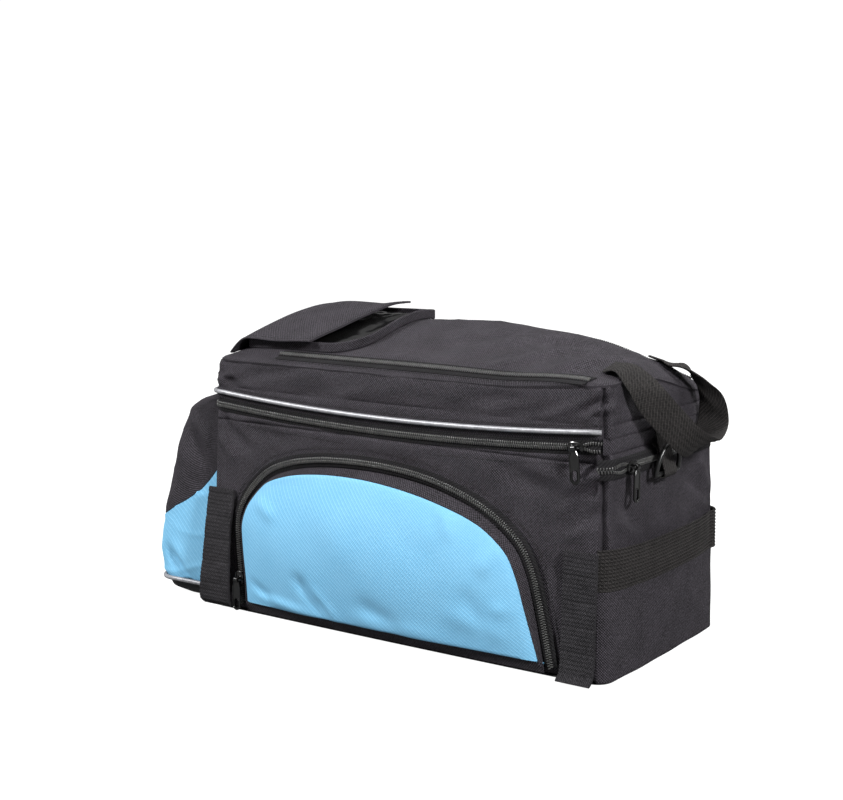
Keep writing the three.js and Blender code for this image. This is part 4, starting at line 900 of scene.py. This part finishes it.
def arch_line(inset, foot):
    """The arch moved inwards by an inset, with its two ends set down on a foot height."""
    inset = np.broadcast_to(inset, len(arch))[:, None]
    line = arch + inset * np.stack([arch_way[:, 1], -arch_way[:, 0]], axis=1)
    line[:, 1] = np.maximum(line[:, 1], foot)
    line[[0, -1], 1] = foot
    return line


def proud(side, line, distance):
    """A place that stands out from a long wall."""
    place = long_wall(side, line[..., 0], line[..., 1])
    return np.stack([line[..., 0], place[..., 1] + side * distance, line[..., 1]], axis=-1)


panel_folds = [
    (-84, 46, -52, 14, -3.4, 6), (-70, 40, -42, 12, 1.8, 5), (-140, 34, -112, 18, -3.0, 4),
    (-136, 22, -70, 14, 2.2, 4), (-20, 34, 24, 14, -2.2, 9), (56, 128, 68, 96, 1.8, 6),
    (112, 100, 94, 74, 2.0, 7), (130, 54, 104, 46, 1.8, 6), (-128, 104, -104, 90, 1.8, 6),
    (10, 110, 60, 70, -1.0, 14), (-60, 110, -20, 60, 1.0, 16), (80, 60, 100, 24, -1.4, 8),
    (-30, 20, 60, 16, 1.4, 7), (60, 40, 120, 26, 1.2, 8),
]


def add_arch_pocket(side, name):
    """Border, panel, zip and outer seam of the pocket on one long side."""
    zip_inset = POCKET_ZIP / 2 + 2 * GAP
    rows = []
    for run in np.linspace(0, 1, 12):
        depth = POCKET_DEPTH * np.interp(run, [0, 0.3, 1], [0, 0.5, 1])
        lift = (CLOTH + GAP) * max(1 - run / 0.3, 0) + 0.9 * math.sin(math.pi * run)
        line = arch_line(zip_inset + run * BORDER * border_run,
                         blend(BASE + GAP, POCKET_FOOT, run))
        line = np.column_stack([line, lift + depth * border_rise])
        base = blend(line[0], line[-1], np.linspace(0, 1, 60)[1:-1, None])
        loop = np.concatenate([line[::-1], base])
        rows.append(proud(side, loop, loop[:, 2]))
    rows = np.array(rows)
    rows = rows if side < 0 else rows[:, ::-1]
    border = cloth_piece(f"{name}_pocket_border_cloth", rows, CLOTH, wrap=True)
    dress(border, black_cloth, "black_cloth", f"{name}_pocket_border")

    rim = np.column_stack([arch_line(zip_inset + BORDER * border_run, POCKET_FOOT), border_rise])
    left, top = rim[:ARCH_SIDE + 1], rim[ARCH_SIDE:ARCH_SIDE + ARCH_TOP + 1]
    right = rim[ARCH_SIDE + ARCH_TOP:][::-1]
    u = np.linspace(0, 1, ARCH_TOP + 1)[None, :, None]
    v = np.linspace(0, 1, ARCH_SIDE + 1)[:, None, None]
    foot = blend(left[0], right[0], u)
    patch = (blend(foot, top[None], v) + blend(left[:, None], right[:, None], u)
             - blend(foot, blend(top[0], top[-1], u), v))
    swell = POCKET_CROWN * np.sqrt(np.sin(np.pi * u)) * np.sin(np.pi * (0.12 + 0.88 * v))
    height = POCKET_DEPTH * patch[..., 2] + GAP + np.maximum(swell, 0)[..., 0]
    inside = np.minimum(np.minimum(u, 1 - u), 1 - v)[..., 0]
    free = ease(inside, 0, 0.12)
    height = height + free * (folds(patch[..., 0], patch[..., 1], panel_folds)
                              + 0.5 * ripple(patch[..., 0], patch[..., 1], 90, 12))
    height = height - 1.9 * (1 - ease(inside, 0, 0.025))
    grid = proud(side, patch, height)
    grid = grid if side < 0 else grid[:, ::-1]
    panel = cloth_piece(f"{name}_pocket_panel_cloth", grid, CLOTH)
    dress(panel, blue_cloth, "blue_cloth", f"{name}_pocket_panel")

    line = arch_line(0, POCKET_ZIP_FOOT)
    line = line if side < 0 else line[::-1]
    outs = np.tile([0.0, side, 0.0], (len(line), 1))
    add_zip(f"{name}_pocket_zip", proud(side, line, 2 * GAP), outs, POCKET_ZIP)
    outer = arch_line(-POCKET_ZIP / 2 - 4, POCKET_ZIP_FOOT)
    stitches(f"{name}_pocket_seam", proud(side, outer, 0.2), outs)


add_arch_pocket(-1, "front")
add_arch_pocket(1, "back")

# %% [markdown]
# The pocket on the left end is a rounded sack. Sections at each height give its depth and width
# as shares, and each section runs straight out from the wall, round a corner and over the face.

# %% Rounded end pocket
SACK_DEPTH, SACK_HALF, SACK_FOOT, SACK_HEIGHT, SACK_CORNER = 76, 88, 3, 182, 20
SACK_BLUE_SIDE, SACK_BLUE_OUTER, SACK_BASE = 118, 68, 15
SACK_SIDE, SACK_BEND = 14, 12
sack_sections = np.array([
    [0, 0, 0.9], [0.001, 0.6, 0.95], [0.02, 0.82, 0.985], [0.09, 0.94, 1], [0.2, 1, 1],
    [0.3, 0.97, 1], [0.42, 0.9, 0.99], [0.54, 0.84, 0.98], [0.7, 0.75, 0.96], [0.81, 0.68, 0.94],
    [0.91, 0.57, 0.92], [0.965, 0.42, 0.9], [0.99, 0.2, 0.88], [1, 0, 0.87]])
sack_folds = [
    (-252, 42, -220, 9, -4.2, 5), (-242, 46, -212, 18, 2.6, 5), (-262, 70, -236, 96, 1.6, 7),
    (-228, 152, -204, 120, -2.8, 5), (-218, 162, -200, 136, 2.2, 4), (-240, 140, -220, 100, 1.8, 8),
    (-232, 120, -208, 96, -1.8, 5), (-206, 150, -200, 118, 1.8, 4),
]


def sack_seat(y, z):
    """Where the sack is sewn on: the left wall with its round corners, and the zip above it."""
    inside = np.maximum(np.abs(y) - CLOTH, 0)
    past = np.clip(inside - half_width(z) + CORNER, 0, CORNER)
    clear = ease(z, TUB - CORNER, TUB) * (TAPE + CHAIN - CLOTH)
    return (end_wall(-1, inside, z)[..., 0] + CORNER - np.sqrt(CORNER**2 - past**2) - clear
            - 2 * GAP)


def sack_surface(z):
    """Rows at several heights. Column 0 is the rear edge at the wall, the last the front edge."""
    share = (z - SACK_FOOT) / (SACK_HEIGHT - SACK_FOOT)
    depth = np.interp(share, sack_sections[:, 0], sack_sections[:, 1])[..., None] * SACK_DEPTH
    half = np.interp(share, sack_sections[:, 0], sack_sections[:, 2])[..., None] * SACK_HALF
    radius = np.minimum(SACK_CORNER, depth)
    s = np.linspace(0, 1, SACK_SIDE + 1)
    q = np.linspace(0, np.pi / 2, SACK_BEND + 1)[1:]
    f = np.linspace(0, 1, 15)[1:]
    out = np.concatenate([s * (depth - radius), depth - radius * (1 - np.sin(q)),
                          depth + 0 * f], axis=-1)
    y = np.concatenate([half + 0 * s, half - radius * (1 - np.cos(q)),
                        (half - radius) * (1 - f)], axis=-1)
    out = np.concatenate([out, out[..., -2::-1]], axis=-1)
    y = np.concatenate([y, -y[..., -2::-1]], axis=-1)
    z = np.broadcast_to(z[:, None], out.shape)
    return np.stack([sack_seat(y, z) - out, y, z], axis=-1)


def sack_grid(low, high, rows):
    """Rows between two heights that change over the columns, read from a fine set of sections."""
    levels = np.linspace(SACK_FOOT, SACK_HEIGHT, 360)
    levels = np.unique(np.concatenate([levels, SACK_FOOT + np.array([0.05, 0.2, 0.6, 1.2])]))
    whole = sack_surface(levels)
    columns = whole.shape[1]
    from_wall = np.minimum(np.arange(columns), columns - 1 - np.arange(columns))
    edge = np.interp(from_wall, [0, SACK_SIDE, SACK_SIDE + SACK_BEND], [0, 3 / 7, 1])
    want = blend(low(edge), high(edge), np.linspace(0, 1, rows)[:, None])
    k = np.clip(np.searchsorted(levels, want) - 1, 0, len(levels) - 2)
    t = ((want - levels[k]) / (levels[k + 1] - levels[k]))[..., None]
    column = np.arange(columns)[None, :].repeat(rows, axis=0)
    return blend(whole[k, column], whole[k + 1, column], np.clip(t, 0, 1))


def sack_relief(grid):
    """Folds on both sides, slow ripples and creases all round, and none at the sewn edges."""
    x, y, z = grid[..., 0], grid[..., 1], grid[..., 2]
    push = ease(np.abs(y), 60, 76) * folds(x, z, sack_folds) + ripple(y + x, z, 60, 21)
    push = push + creases(y + x, z, 55, 67)
    column = np.arange(grid.shape[1])
    free = ease(column, 0, 5) * ease(column[::-1], 0, 5)
    return grid + grid_normals(grid) * (push * free)[..., None]


def sack_blue(edge):
    """The coloured panel's upper edge: it falls steeply from the wall, then runs level."""
    return blend(SACK_BLUE_SIDE, SACK_BLUE_OUTER, 1 - (1 - edge) ** 2.5)


def level(height):
    """An edge of the sack at one height all round."""
    return lambda edge: np.full(edge.shape, height)


def add_end_pocket():
    """Base, blue panel, black top and the edging between base and panel."""
    seam = 2 * GAP
    base = sack_grid(level(SACK_FOOT), level(SACK_BASE - seam), 22)
    panel = sack_grid(level(SACK_BASE + seam), lambda edge: sack_blue(edge) - seam, 46)
    top = sack_grid(lambda edge: sack_blue(edge) + seam, level(SACK_HEIGHT), 60)
    dress(cloth_piece("sack_base_cloth", base, CLOTH), coated_cloth, "coated_cloth",
          "end_pocket_base")
    dress(cloth_piece("sack_blue_cloth", sack_relief(panel), CLOTH), blue_cloth, "blue_cloth",
          "end_pocket_panel")
    dress(cloth_piece("sack_top_cloth", sack_relief(top), CLOTH), black_cloth, "black_cloth",
          "end_pocket_top")
    line = sack_grid(level(SACK_BASE - 0.4), level(SACK_BASE + 0.4), 3)
    out = grid_normals(line)[1][2:-2]
    path = line[1][2:-2] + out * (EDGING + GAP)
    dress(swept_piece("sack_edging", path, out, circle(EDGING, 10)), reflective,
          "reflective_edging", "end_pocket_piping")


add_end_pocket()

# %% [markdown]
# The right end has a flat pouch with a wide elastic along its mouth, a short zip above it, and a
# ring on a folded webbing tab. They all follow the end wall, a little in front of it.

# %% Pouch, elastic and end zip
ELASTIC_TOP, ELASTIC, ELASTIC_RIBS, POUCH_MOUTH, POUCH_THICK = 101, 30, 11, 6, 1.4
END_ZIP, END_ZIP_WIDTH, END_SLIDER = 160, 15, -62


def end_strip(ring):
    """The columns of a turn round the body that cover the right end."""
    return ring[:, RIGHT_FIRST + 3:RIGHT_LAST - 2]


def pouch_grid(low, high, rows):
    """The end wall moved out, most at the pouch's mouth and not at its sewn sides."""
    z = np.linspace(low, high, rows)
    grid = end_strip(outline(z)).copy()
    share = np.clip(np.abs(grid[..., 1]) / (WIDTH / 2 - CORNER / 2), 0, 1)
    grid[..., 0] += 2 * GAP + POUCH_MOUTH * (z[:, None] / ELASTIC_TOP) * (1 - share**4)
    return grid


def add_pouch():
    """The pouch's cloth, and the ribbed elastic that holds its mouth."""
    seam = ELASTIC_TOP - ELASTIC
    pouch = pouch_grid(BASE + GAP, seam - GAP, 34)
    wave = 0.5 * ripple(pouch[..., 1], pouch[..., 2], 60, 31)
    pouch = pouch + grid_normals(pouch) * (POUCH_THICK + np.maximum(wave, -0.3))[..., None]
    dress(cloth_piece("pouch_cloth", pouch, POUCH_THICK), black_cloth, "black_cloth", "end_pouch")
    band = pouch_grid(seam + GAP, ELASTIC_TOP, 91)
    ribs = 0.42 * np.cos(np.linspace(0, ELASTIC_RIBS * 2 * np.pi, 91))[:, None]
    gathers = 0.3 * np.sin(band[..., 1] / 3.1) * ease(band[..., 2], seam, ELASTIC_TOP)
    band = band + grid_normals(band) * (1.6 + ribs + gathers)[..., None]
    band[..., 0] += 3.5 * ease(band[..., 1], 72, 86)
    dress(cloth_piece("elastic_cloth", band, POUCH_THICK), webbing, "webbing", "elastic_band")


def end_opening(places):
    """The end zip is open between the front corner and its slider."""
    length = 19
    share = (places[:, 1] - END_SLIDER + length + 3) / length
    return 1.8 * np.sin(np.pi * np.clip(share, 0, 1))


add_pouch()
end_ring = outline([END_ZIP - 1, END_ZIP, END_ZIP + 1])
end_path = end_strip(end_ring)[1]
end_out = end_strip(grid_normals(end_ring, True))[1]
add_zip("end_zip", end_path, end_out, END_ZIP_WIDTH, end_opening)

# %% [markdown]
# The carrying strap is stiff webbing that stands off the bag in one wide curve. Dropped by physics
# it could settle anywhere, so it runs through a table of places instead, each with the direction of
# its width. The ring below it swings, so it rides on a body of its own.

# %% Ring, tab and carrying strap
RING_MIDDLE, RING_SPAN, RING_RISE, RING_WIRE = -15, 34, 24, 3.6
RING_OFF, RING_Z, RING_LEAN, TAB, WEB, WEB_WIDTH = 8.5, 149, 9, 20, 1.6, 25
ring_bar = end_wall(1, RING_MIDDLE, RING_Z) + np.array([RING_OFF, 0, 0])


def add_ring():
    """A D: half an ellipse above a straight bar, leaning out."""
    t = np.linspace(0, np.pi, 40)
    half = (RING_SPAN + RING_WIRE) / 2
    across = np.concatenate([half * np.cos(t), np.linspace(-half, half, 22)[1:-1]])
    up = np.concatenate([RING_RISE * np.sin(t), np.zeros(20)])
    tip = math.radians(RING_LEAN)
    path = ring_bar + np.stack([up * math.sin(tip), across, up * math.cos(tip)], axis=1)
    out = np.tile([math.cos(tip), 0, -math.sin(tip)], (len(path), 1))
    dress(swept_piece("ring_wire", path, out, circle(RING_WIRE / 2, 12), closed=True),
          black_plastic, "black_plastic", "d_ring", body="carry_ring")


def tab_line():
    """Path of the tab in the XZ plane: down from the seam, round the ring's bar and back up."""
    radius = RING_WIRE / 2 + 2 * GAP + WEB / 2

    def wall(z):
        """How far out the end wall lies behind the ring."""
        return float(end_wall(1, RING_MIDDLE, z)[0])

    zip_top, sewn = END_ZIP + 7.5, SEAM + 5
    a = np.linspace(np.pi, 2 * np.pi, 14)
    hook = np.stack([ring_bar[0] + radius * np.cos(a), ring_bar[2] + radius * np.sin(a)], axis=1)
    line = np.concatenate([
        [[wall(TUB) + GAP + WEB / 2, TUB + 1], [wall(zip_top) + 4.5 + WEB / 2, zip_top]], hook,
        [[wall(zip_top) + 4.7 + 1.5 * WEB, zip_top], [wall(sewn) + GAP + 1.5 * WEB, sewn]]])
    path = even_path(line, 90)
    path = np.stack([path[:, 0], np.full(90, RING_MIDDLE), path[:, 1]], axis=1)
    tangent = unit(np.gradient(path, axis=0))
    out = np.cross(tangent, np.tile([0.0, 1, 0], (90, 1)))
    return path, out


def ribbon(width, thickness, columns=24, ribs=0.0, count=5):
    """A flat band's section with rounded edges; ribs run along it as a small wave."""
    s = np.linspace(-1, 1, columns)
    wave = ribs * np.cos(s * np.pi * count)
    edge = np.sqrt(np.clip(1 - np.clip((np.abs(s) - 0.94) / 0.06, 0, 1) ** 2, 0, 1))
    top = np.stack([s * width / 2, thickness / 2 * (0.35 + 0.65 * edge) + wave * edge], axis=1)
    low = np.stack([s * width / 2, -thickness / 2 * (0.35 + 0.65 * edge)], axis=1)[::-1]
    return np.concatenate([low, top])


add_ring()
dress(swept_piece("tab_webbing", *tab_line(), ribbon(TAB, WEB * 0.92, ribs=0.12, count=9)),
      webbing, "webbing", "d_ring_tab")

HANDLE_OUT, HANDLE_SPAN, HANDLE_DROP, ON_LID = 25, 56, 46, (0, -2, -1)
handle_rows = np.array([
    [-0.72, -1, 0, 0, 1, 0], [-0.28, -0.99, 0.354, 0.12, 0.98, 0.1],
    [0.16, -0.946, 0.146, 0.25, 0.9, 0.4], [0.56, -0.83, -0.174, 0.5, 0.5, 0.62],
    [0.9, -0.57, -0.54, 0.5, 0.42, 0.74], [1.08, -0.28, -0.826, 0.5, 0.3, 0.78],
    [1.06, 0.09, -0.99, 0.66, 0.1, 0.64], [0.84, 0.53, -0.967, 0.95, 0.15, 0.1],
    [0.64, 0.955, -0.74, 0.95, 0.1, 0], [0.56, 0.955, -0.39, 0.9, -0.3, 0.35],
    [0.32, 0.885, -0.137, 0.5, -0.75, 0.45], [0, 0.79, 0.06, 0.3, -0.9, 0.3],
    [-0.44, 0.8, 0.165, 0.2, -0.97, 0], [-0.8, 0.8, 0, 0, -1, 0], [-1.3, 0.79, 0, 0, -1, 0]])


def add_handle():
    """The strap's middle line and the direction of its width both run smoothly through the rows.
    Its first and last rows are sewn flat on the lid."""
    x = LENGTH / 2 + handle_rows[:, 0] * HANDLE_OUT
    y = handle_rows[:, 1] * HANDLE_SPAN
    z = LID_EDGE + handle_rows[:, 2] * HANDLE_DROP
    width = handle_rows[:, 3:].copy()
    for k in ON_LID:
        z[k] = on_lid(x[k], y[k], 3 * GAP)[2]
        width[k] = (on_lid(x[k], y[k] + 1, 0) - on_lid(x[k], y[k], 0)) * np.sign(width[k, 1])
    rows = np.stack([x, y, z], axis=1)
    knots = np.append(0, np.cumsum(np.sqrt(np.linalg.norm(np.diff(rows, axis=0), axis=1))))
    at = np.linspace(0, knots[-1], 200)
    path, wide = hermite(knots, rows, at), hermite(knots, width, at)
    out = unit(np.cross(unit(np.gradient(path, axis=0)), wide))
    path = path + out * (GAP + WEB / 2)
    piece = swept_piece("carrying_webbing", path, out, ribbon(WEB_WIDTH, WEB, ribs=0.25, count=6))
    dress(piece, webbing, "webbing", "carrying_strap")


add_handle()

# %% [markdown]
# Four hook-and-loop straps hang at the corners. Each is a sheet that starts sewn to the wall and
# lifts off towards its lower end. Shallow level dents stand for its rows of stitching.

# %% Hook-and-loop straps
STRAP, STRAP_THICK, STRAP_ROWS = 28, 2.4, 160
STRAP_RIGHT, STRAP_RIGHT_TOP, STRAP_LEFT, STRAP_LEFT_TOP = 172, 98, -177, 104
straight_rows = np.array([[0, 0], [0.35, 0.02], [0.7, 0.05], [0.88, 0.08], [0.94, 0.16],
                          [0.965, 0.3]])
hanging_rows = np.array([[0, 0], [0.35, 0.02], [0.7, 0.04], [0.88, 0.05], [0.94, 0.06],
                         [0.965, 0.07]])
curled_rows = np.array([[0, 0], [0.12, 0.07], [0.3, 0.18], [0.6, 0.3], [0.84, 0.36],
                        [0.93, 0.3], [0.965, 0.16]])


def add_strap(name, side, middle, top, rows, turned=0.0):
    """A strap from its top down. Each of its rows gives a share of the length and how far it lifts
    off, in strap widths. turned is how much broader it looks where it faces the viewer."""
    down = np.linspace(rows[-1, 0], 0, STRAP_ROWS)
    out = hermite(rows[:, 0], rows[:, 1], down)
    z = top * (1 - down)
    x = np.linspace(-0.5, 0.5, 12) * STRAP * -side * (1 + turned * ease(down, 0.35, 0.9))[:, None]
    wall = long_wall(side, np.sign(middle) * (LENGTH / 2 - CORNER), z)[:, 1]
    bands = 0.5 * np.maximum(np.sin(z / 9.5 * np.pi), 0) ** 4 + 0.2 * np.sin(z * np.pi / 1.6)
    y = wall + side * (3 * GAP + STRAP_THICK + out * STRAP - bands)
    grid = np.stack([middle + x, np.broadcast_to(y[:, None], (STRAP_ROWS, 12)),
                     np.broadcast_to(z[:, None], (STRAP_ROWS, 12))], axis=-1)
    piece = cloth_piece(f"{name}_cloth", grid, STRAP_THICK)
    dress(piece, hook_and_loop, "hook_and_loop", name)


add_strap("front_right_strap", -1, STRAP_RIGHT, STRAP_RIGHT_TOP, straight_rows)
add_strap("front_left_strap", -1, STRAP_LEFT, STRAP_LEFT_TOP, curled_rows, 0.16)
add_strap("back_right_strap", 1, STRAP_RIGHT, STRAP_RIGHT_TOP, hanging_rows)
add_strap("back_left_strap", 1, STRAP_LEFT, STRAP_LEFT_TOP, curled_rows)

# %% [markdown]
# The pocket on the lid has a low standing rim, a wrinkled clear window inside it and a flap over
# both. The flap is sewn at the left end and lies on the rim, so it bows and lifts at its tip.

# %% Flap pocket
FLAP, FLAP_FRONT, FLAP_REAR, FLAP_SKEW, FLAP_HINGE = 108, -73, 42, 20, 184.5
FLAP_TIP, FLAP_LIFT, FLAP_THICK, WINDOW_LIFT, WINDOW_THICK = 3, 10, 1.8, 4.6, 1
RIM_LEFT, RIM_RIGHT, RIM_FRONT, RIM_REAR, RIM_ROUND, RIM, RIM_THICK = 168, 54, 66, 46, 32, 7, 1.6
flap_rise = np.array([[0, 0.08], [0.06, 0.5], [0.14, 0.92], [0.3, 1.05], [0.6, 1], [1, 1]])


def add_rim():
    """A low wall of cloth that stands on the lid, along a rectangle with one round corner."""
    q = np.linspace(-np.pi / 2, 0, 20)
    corner = np.stack([-RIM_RIGHT - RIM_ROUND * (1 - np.cos(q)),
                       -RIM_FRONT + RIM_ROUND * (1 + np.sin(q))], axis=1)
    front = np.stack([np.linspace(-RIM_LEFT, -RIM_RIGHT - RIM_ROUND, 40)[:-1],
                      np.full(39, -RIM_FRONT)], axis=1)
    right = np.stack([np.full(29, -RIM_RIGHT),
                      np.linspace(RIM_ROUND - RIM_FRONT, RIM_REAR, 30)[1:]], axis=1)
    rear = np.stack([np.linspace(-RIM_RIGHT, -RIM_LEFT, 50)[1:], np.full(49, RIM_REAR)], axis=1)
    plan = np.concatenate([front, corner, right, rear])
    rise = 3 * GAP + np.linspace(0, RIM, 9)[:, None]
    grid = on_lid(plan[None, :, 0], plan[None, :, 1], rise)
    grid = grid + grid_normals(grid) * RIM_THICK / 2
    dress(cloth_piece("rim_cloth", grid, RIM_THICK), black_cloth, "black_cloth", "flap_pocket_rim")


def add_window():
    """The clear window inside the rim, with the crumples of stored vinyl."""
    margin = RIM_THICK + 2 * GAP
    radius = RIM_ROUND - margin
    y = blend(margin - RIM_FRONT, RIM_REAR - margin, np.linspace(0, 1, 60) ** 1.4)[:, None]
    past = np.clip(RIM_ROUND - RIM_FRONT - y, 0, radius)
    right = -RIM_RIGHT - margin - radius + np.sqrt(radius**2 - past**2)
    x = blend(-RIM_LEFT, right, np.linspace(0, 1, 60)[None, :])
    crumple = 0.5 * ripple(x, y, 16, 41) + 0.5 * ripple(x, y, 34, 42)
    grid = on_lid(x, y, WINDOW_LIFT + crumple)
    dress(cloth_piece("window_vinyl", grid, WINDOW_THICK), clear_vinyl, "clear_vinyl", "flap_pocket_window")


def add_flap():
    """The flap bows over the rim, waves along its front edge and has a stitched hem."""
    v = np.linspace(0, 1, 70)[:, None]
    u = np.linspace(0, 1, 70)[None, :]
    y = blend(FLAP_FRONT, FLAP_REAR, v)
    x = -FLAP_HINGE + u * (FLAP - FLAP_SKEW * (1 - v))
    tip = FLAP_TIP * ease(u, 0.7, 1) * ease(v, 0.5, 1)
    lift = hermite(flap_rise[:, 0], flap_rise[:, 1], u) * FLAP_LIFT
    wave = 1.1 * np.sin(u * 7.5 + 0.6) * (1 - ease(v, 0, 0.35)) * ease(u, 0.1, 0.35)
    hem = 0.5 * np.exp(-((np.minimum(np.minimum(v, 1 - v), (1 - u) * 0.9) - 0.035) / 0.012) ** 2)
    grid = on_lid(x, y, lift + tip + FLAP_THICK + wave - hem + 0.35 * ripple(x, y, 60, 51))
    dress(cloth_piece("flap_cloth", grid, FLAP_THICK), black_cloth, "black_cloth", "flap")
    near = 2
    seam = [np.concatenate([rows[near, 4:-near], rows[near:-near, -near - 1],
                            rows[-near - 1, 4:-near][::-1]]) for rows in (grid, grid_normals(grid))]
    stitches("flap_seam", *seam)


add_rim()
add_window()
add_flap()

# %% [markdown]
# A slider is a waisted block with an arch over it, and a pull swings on the arch. The pull is a
# thin tab with a raised border and a slot near its round end. Both are lofted from closed loops.

# %% Sliders and pulls
SLIDER, SLIDER_WIDTH, PLATE, BAIL, BAIL_HEIGHT, BAIL_SPAN = 13, 9, 1.4, 0.8, 3.1, 8
PULL, PULL_WIDTH, PULL_THICK, NECK, LOOP = 29, 8.4, 1.8, 4.6, 64
EYE, EYE_WIDTH, EYE_THICK, POCKET_SLIDER = 1.75, 4.4, 1.0, 30
BAR = CHAIN + GAP + PLATE + BAIL_HEIGHT
TAB_END = PULL_WIDTH / 2 + 2.35 - PULL


def local(points, place, axes):
    """Slider coordinates (along the bail, up the wall, out of the tape) to the bag's."""
    return place + points @ axes


def loft(name, loops, place, axes):
    """Closed loops of equal count, joined in turn, with a fan over the first and the last."""
    loops = np.array(loops)
    rows, columns = loops.shape[:2]
    quads, _, _ = loop_quads(rows, columns, False, True)
    points = np.concatenate([loops.reshape(-1, 3), [loops[0].mean(axis=0), loops[-1].mean(axis=0)]])
    return put_mesh(name, local(points, place, axes), quads, end_fans(rows, columns), None, 40)


def slider_block(name, place, axes, chain_along):
    """The block in plan is wide at one end and waisted; its upper plate has rounded edges."""
    a = np.arange(40) * 2 * np.pi / 40
    shape = np.stack([np.sign(np.cos(a)) * np.abs(np.cos(a)) ** 0.6 * SLIDER / 2,
                      np.sign(np.sin(a)) * np.abs(np.sin(a)) ** 0.7 * SLIDER_WIDTH / 2], axis=1)
    shape[:, 1] *= 1 - 0.2 * ease(shape[:, 0] / SLIDER, -0.1, 0.45)
    if not chain_along:
        shape = shape[:, ::-1] * np.array([1, -1])
    low = CHAIN + GAP
    rows = [(0.9, low), (1.0, low + 0.3), (1.0, low + PLATE - 0.4), (0.93, low + PLATE - 0.1),
            (0.7, low + PLATE + 0.25), (0.35, low + PLATE + 0.35)]
    loops = [np.column_stack([shape * scale, np.full(40, z)]) for scale, z in rows]
    return loft(name, loops, place, axes)


def bail_arch(name, place, axes, length):
    """The arch over the slider: straight posts joined by a bar, rounded at its shoulders."""
    base = CHAIN + GAP + PLATE - 0.3
    half = length / 2
    line = even_path([[-half, 0, base], [-half, 0, base + 1.6], [-half + 0.9, 0, BAR - 0.1],
                      [-half + 2.2, 0, BAR], [half - 2.2, 0, BAR], [half - 0.9, 0, BAR - 0.1],
                      [half, 0, base + 1.6], [half, 0, base]], 40)
    path = local(line, place, axes)
    return swept_piece(name, path, np.tile(axes[1], (40, 1)), circle(BAIL, 10))


def pull_outline(inset):
    """The tab's edge in the pull's plane, moved inwards: a neck, a taper and a round end."""
    half = PULL_WIDTH / 2 - inset
    a = np.linspace(np.pi, 2 * np.pi, 25)
    neck = NECK / 2 - inset * 0.6
    top = -1.8 - inset
    left = np.array([[-neck, top], [-half, top - 4.2 + 0.4 * inset], [-half * 0.97, -12]])
    round_end = np.stack([half * np.cos(a), TAB_END + half * np.sin(a)], axis=1)
    line = np.concatenate([left, round_end, left[::-1] * np.array([-1, 1])])
    loop = np.concatenate([line, line[:1]])
    length = np.append(0, np.cumsum(np.linalg.norm(np.diff(loop, axis=0), axis=1)))
    want = np.linspace(0, length[-1], LOOP + 1)[:-1]
    return np.stack([np.interp(want, length, loop[:, k]) for k in (0, 1)], axis=1)


def slot_outline(grow):
    """The slot near the round end, as a loop that starts at the same corner as the outline."""
    a = -np.linspace(0, 2 * np.pi, LOOP + 1)[:-1] + np.pi / 2 + 0.35
    x, y = (2.0 + grow) * np.cos(a), (2.0 + grow) * np.sin(a)
    return np.stack([-x, TAB_END + 2 + y + np.sign(y) * 2], axis=1)


def add_pull(name, place, axes, body):
    """Closed loops go over the rim, across the sunk face, through the slot and back."""
    high, low = PULL_THICK / 2, PULL_THICK / 2 - 0.5
    layers = [(pull_outline(0), high - 0.35), (pull_outline(0.3), high), (pull_outline(0.9), high),
              (pull_outline(1.15), low), (slot_outline(0.75), low), (slot_outline(0.55), high),
              (slot_outline(0.15), high), (slot_outline(0), high - 0.3)]
    face = [np.column_stack([loop, np.full(LOOP, z)]) for loop, z in layers]
    back = [loop * np.array([1, 1, -1]) for loop in face[::-1]]
    loops = np.array(face + back)
    loops[..., 2] += BAR
    quads, _, _ = loop_quads(len(loops), LOOP, True, True)
    tab = put_mesh(f"{name}_tab", local(loops.reshape(-1, 3), place, axes), quads, None, None, 35)
    dress(tab, black_metal, "black_metal", body=body)
    a = np.linspace(0, 2 * np.pi, 29)[:-1]
    away = np.stack([0 * a, np.cos(a), np.sin(a)], axis=1)
    eye = away * EYE + np.array([0, 0, BAR])
    section = ribbon(EYE_WIDTH, EYE_THICK, 10)
    ring = swept_piece(f"{name}_eye", local(eye, place, axes), away @ axes, section, closed=True)
    dress(ring, black_metal, "black_metal", f"{name}_pull", body=body)


def add_slider(name, place, along, out, body, chain_along=True):
    """Block, bail and pull of one slider. chain_along tells that the zip runs along the bail."""
    along, out = unit(np.asarray(along, float)), unit(np.asarray(out, float))
    axes = np.stack([along, np.cross(out, along), out])
    block = slider_block(f"{name}_block", place, axes, chain_along)
    dress(block, black_metal, "black_metal", f"{name}_slider")
    span = BAIL_SPAN if chain_along else SLIDER_WIDTH - 1.4
    dress(bail_arch(f"{name}_bail", place, axes, span), black_metal, "black_metal")
    add_pull(name, place, axes, body)


def add_sliders():
    """One slider on each zip that shows one, turned to its wall."""
    middle = TUB + SLOT / 2
    spot = long_wall(-1, MAIN_SLIDER, middle)
    along = unit(long_wall(-1, MAIN_SLIDER + 1, middle) - spot)
    out = unit(np.cross(along, [0, 0, 1]))
    add_slider("main_zip", spot + out * (TAPE - CLOTH), along, out, "main_pull")
    line = arch_line(0, POCKET_ZIP_FOOT)[:ARCH_SIDE]
    x = np.interp(POCKET_SLIDER, line[:, 1], line[:, 0])
    for side, name in ((-1, "front_pocket"), (1, "back_pocket")):
        place = proud(side, np.array([x, POCKET_SLIDER]), 3 * GAP + TAPE)
        add_slider(name, place, (-side, 0, 0), (0, side, 0), f"{name}_pull_body", False)
    spot = end_wall(1, END_SLIDER, END_ZIP)
    along = unit(end_wall(1, END_SLIDER + 1, END_ZIP) - spot)
    out = unit(np.cross(along, [0, 0, 1]))
    add_slider("end_zip", spot + out * (GAP + TAPE), along, out, "end_pull")


add_sliders()
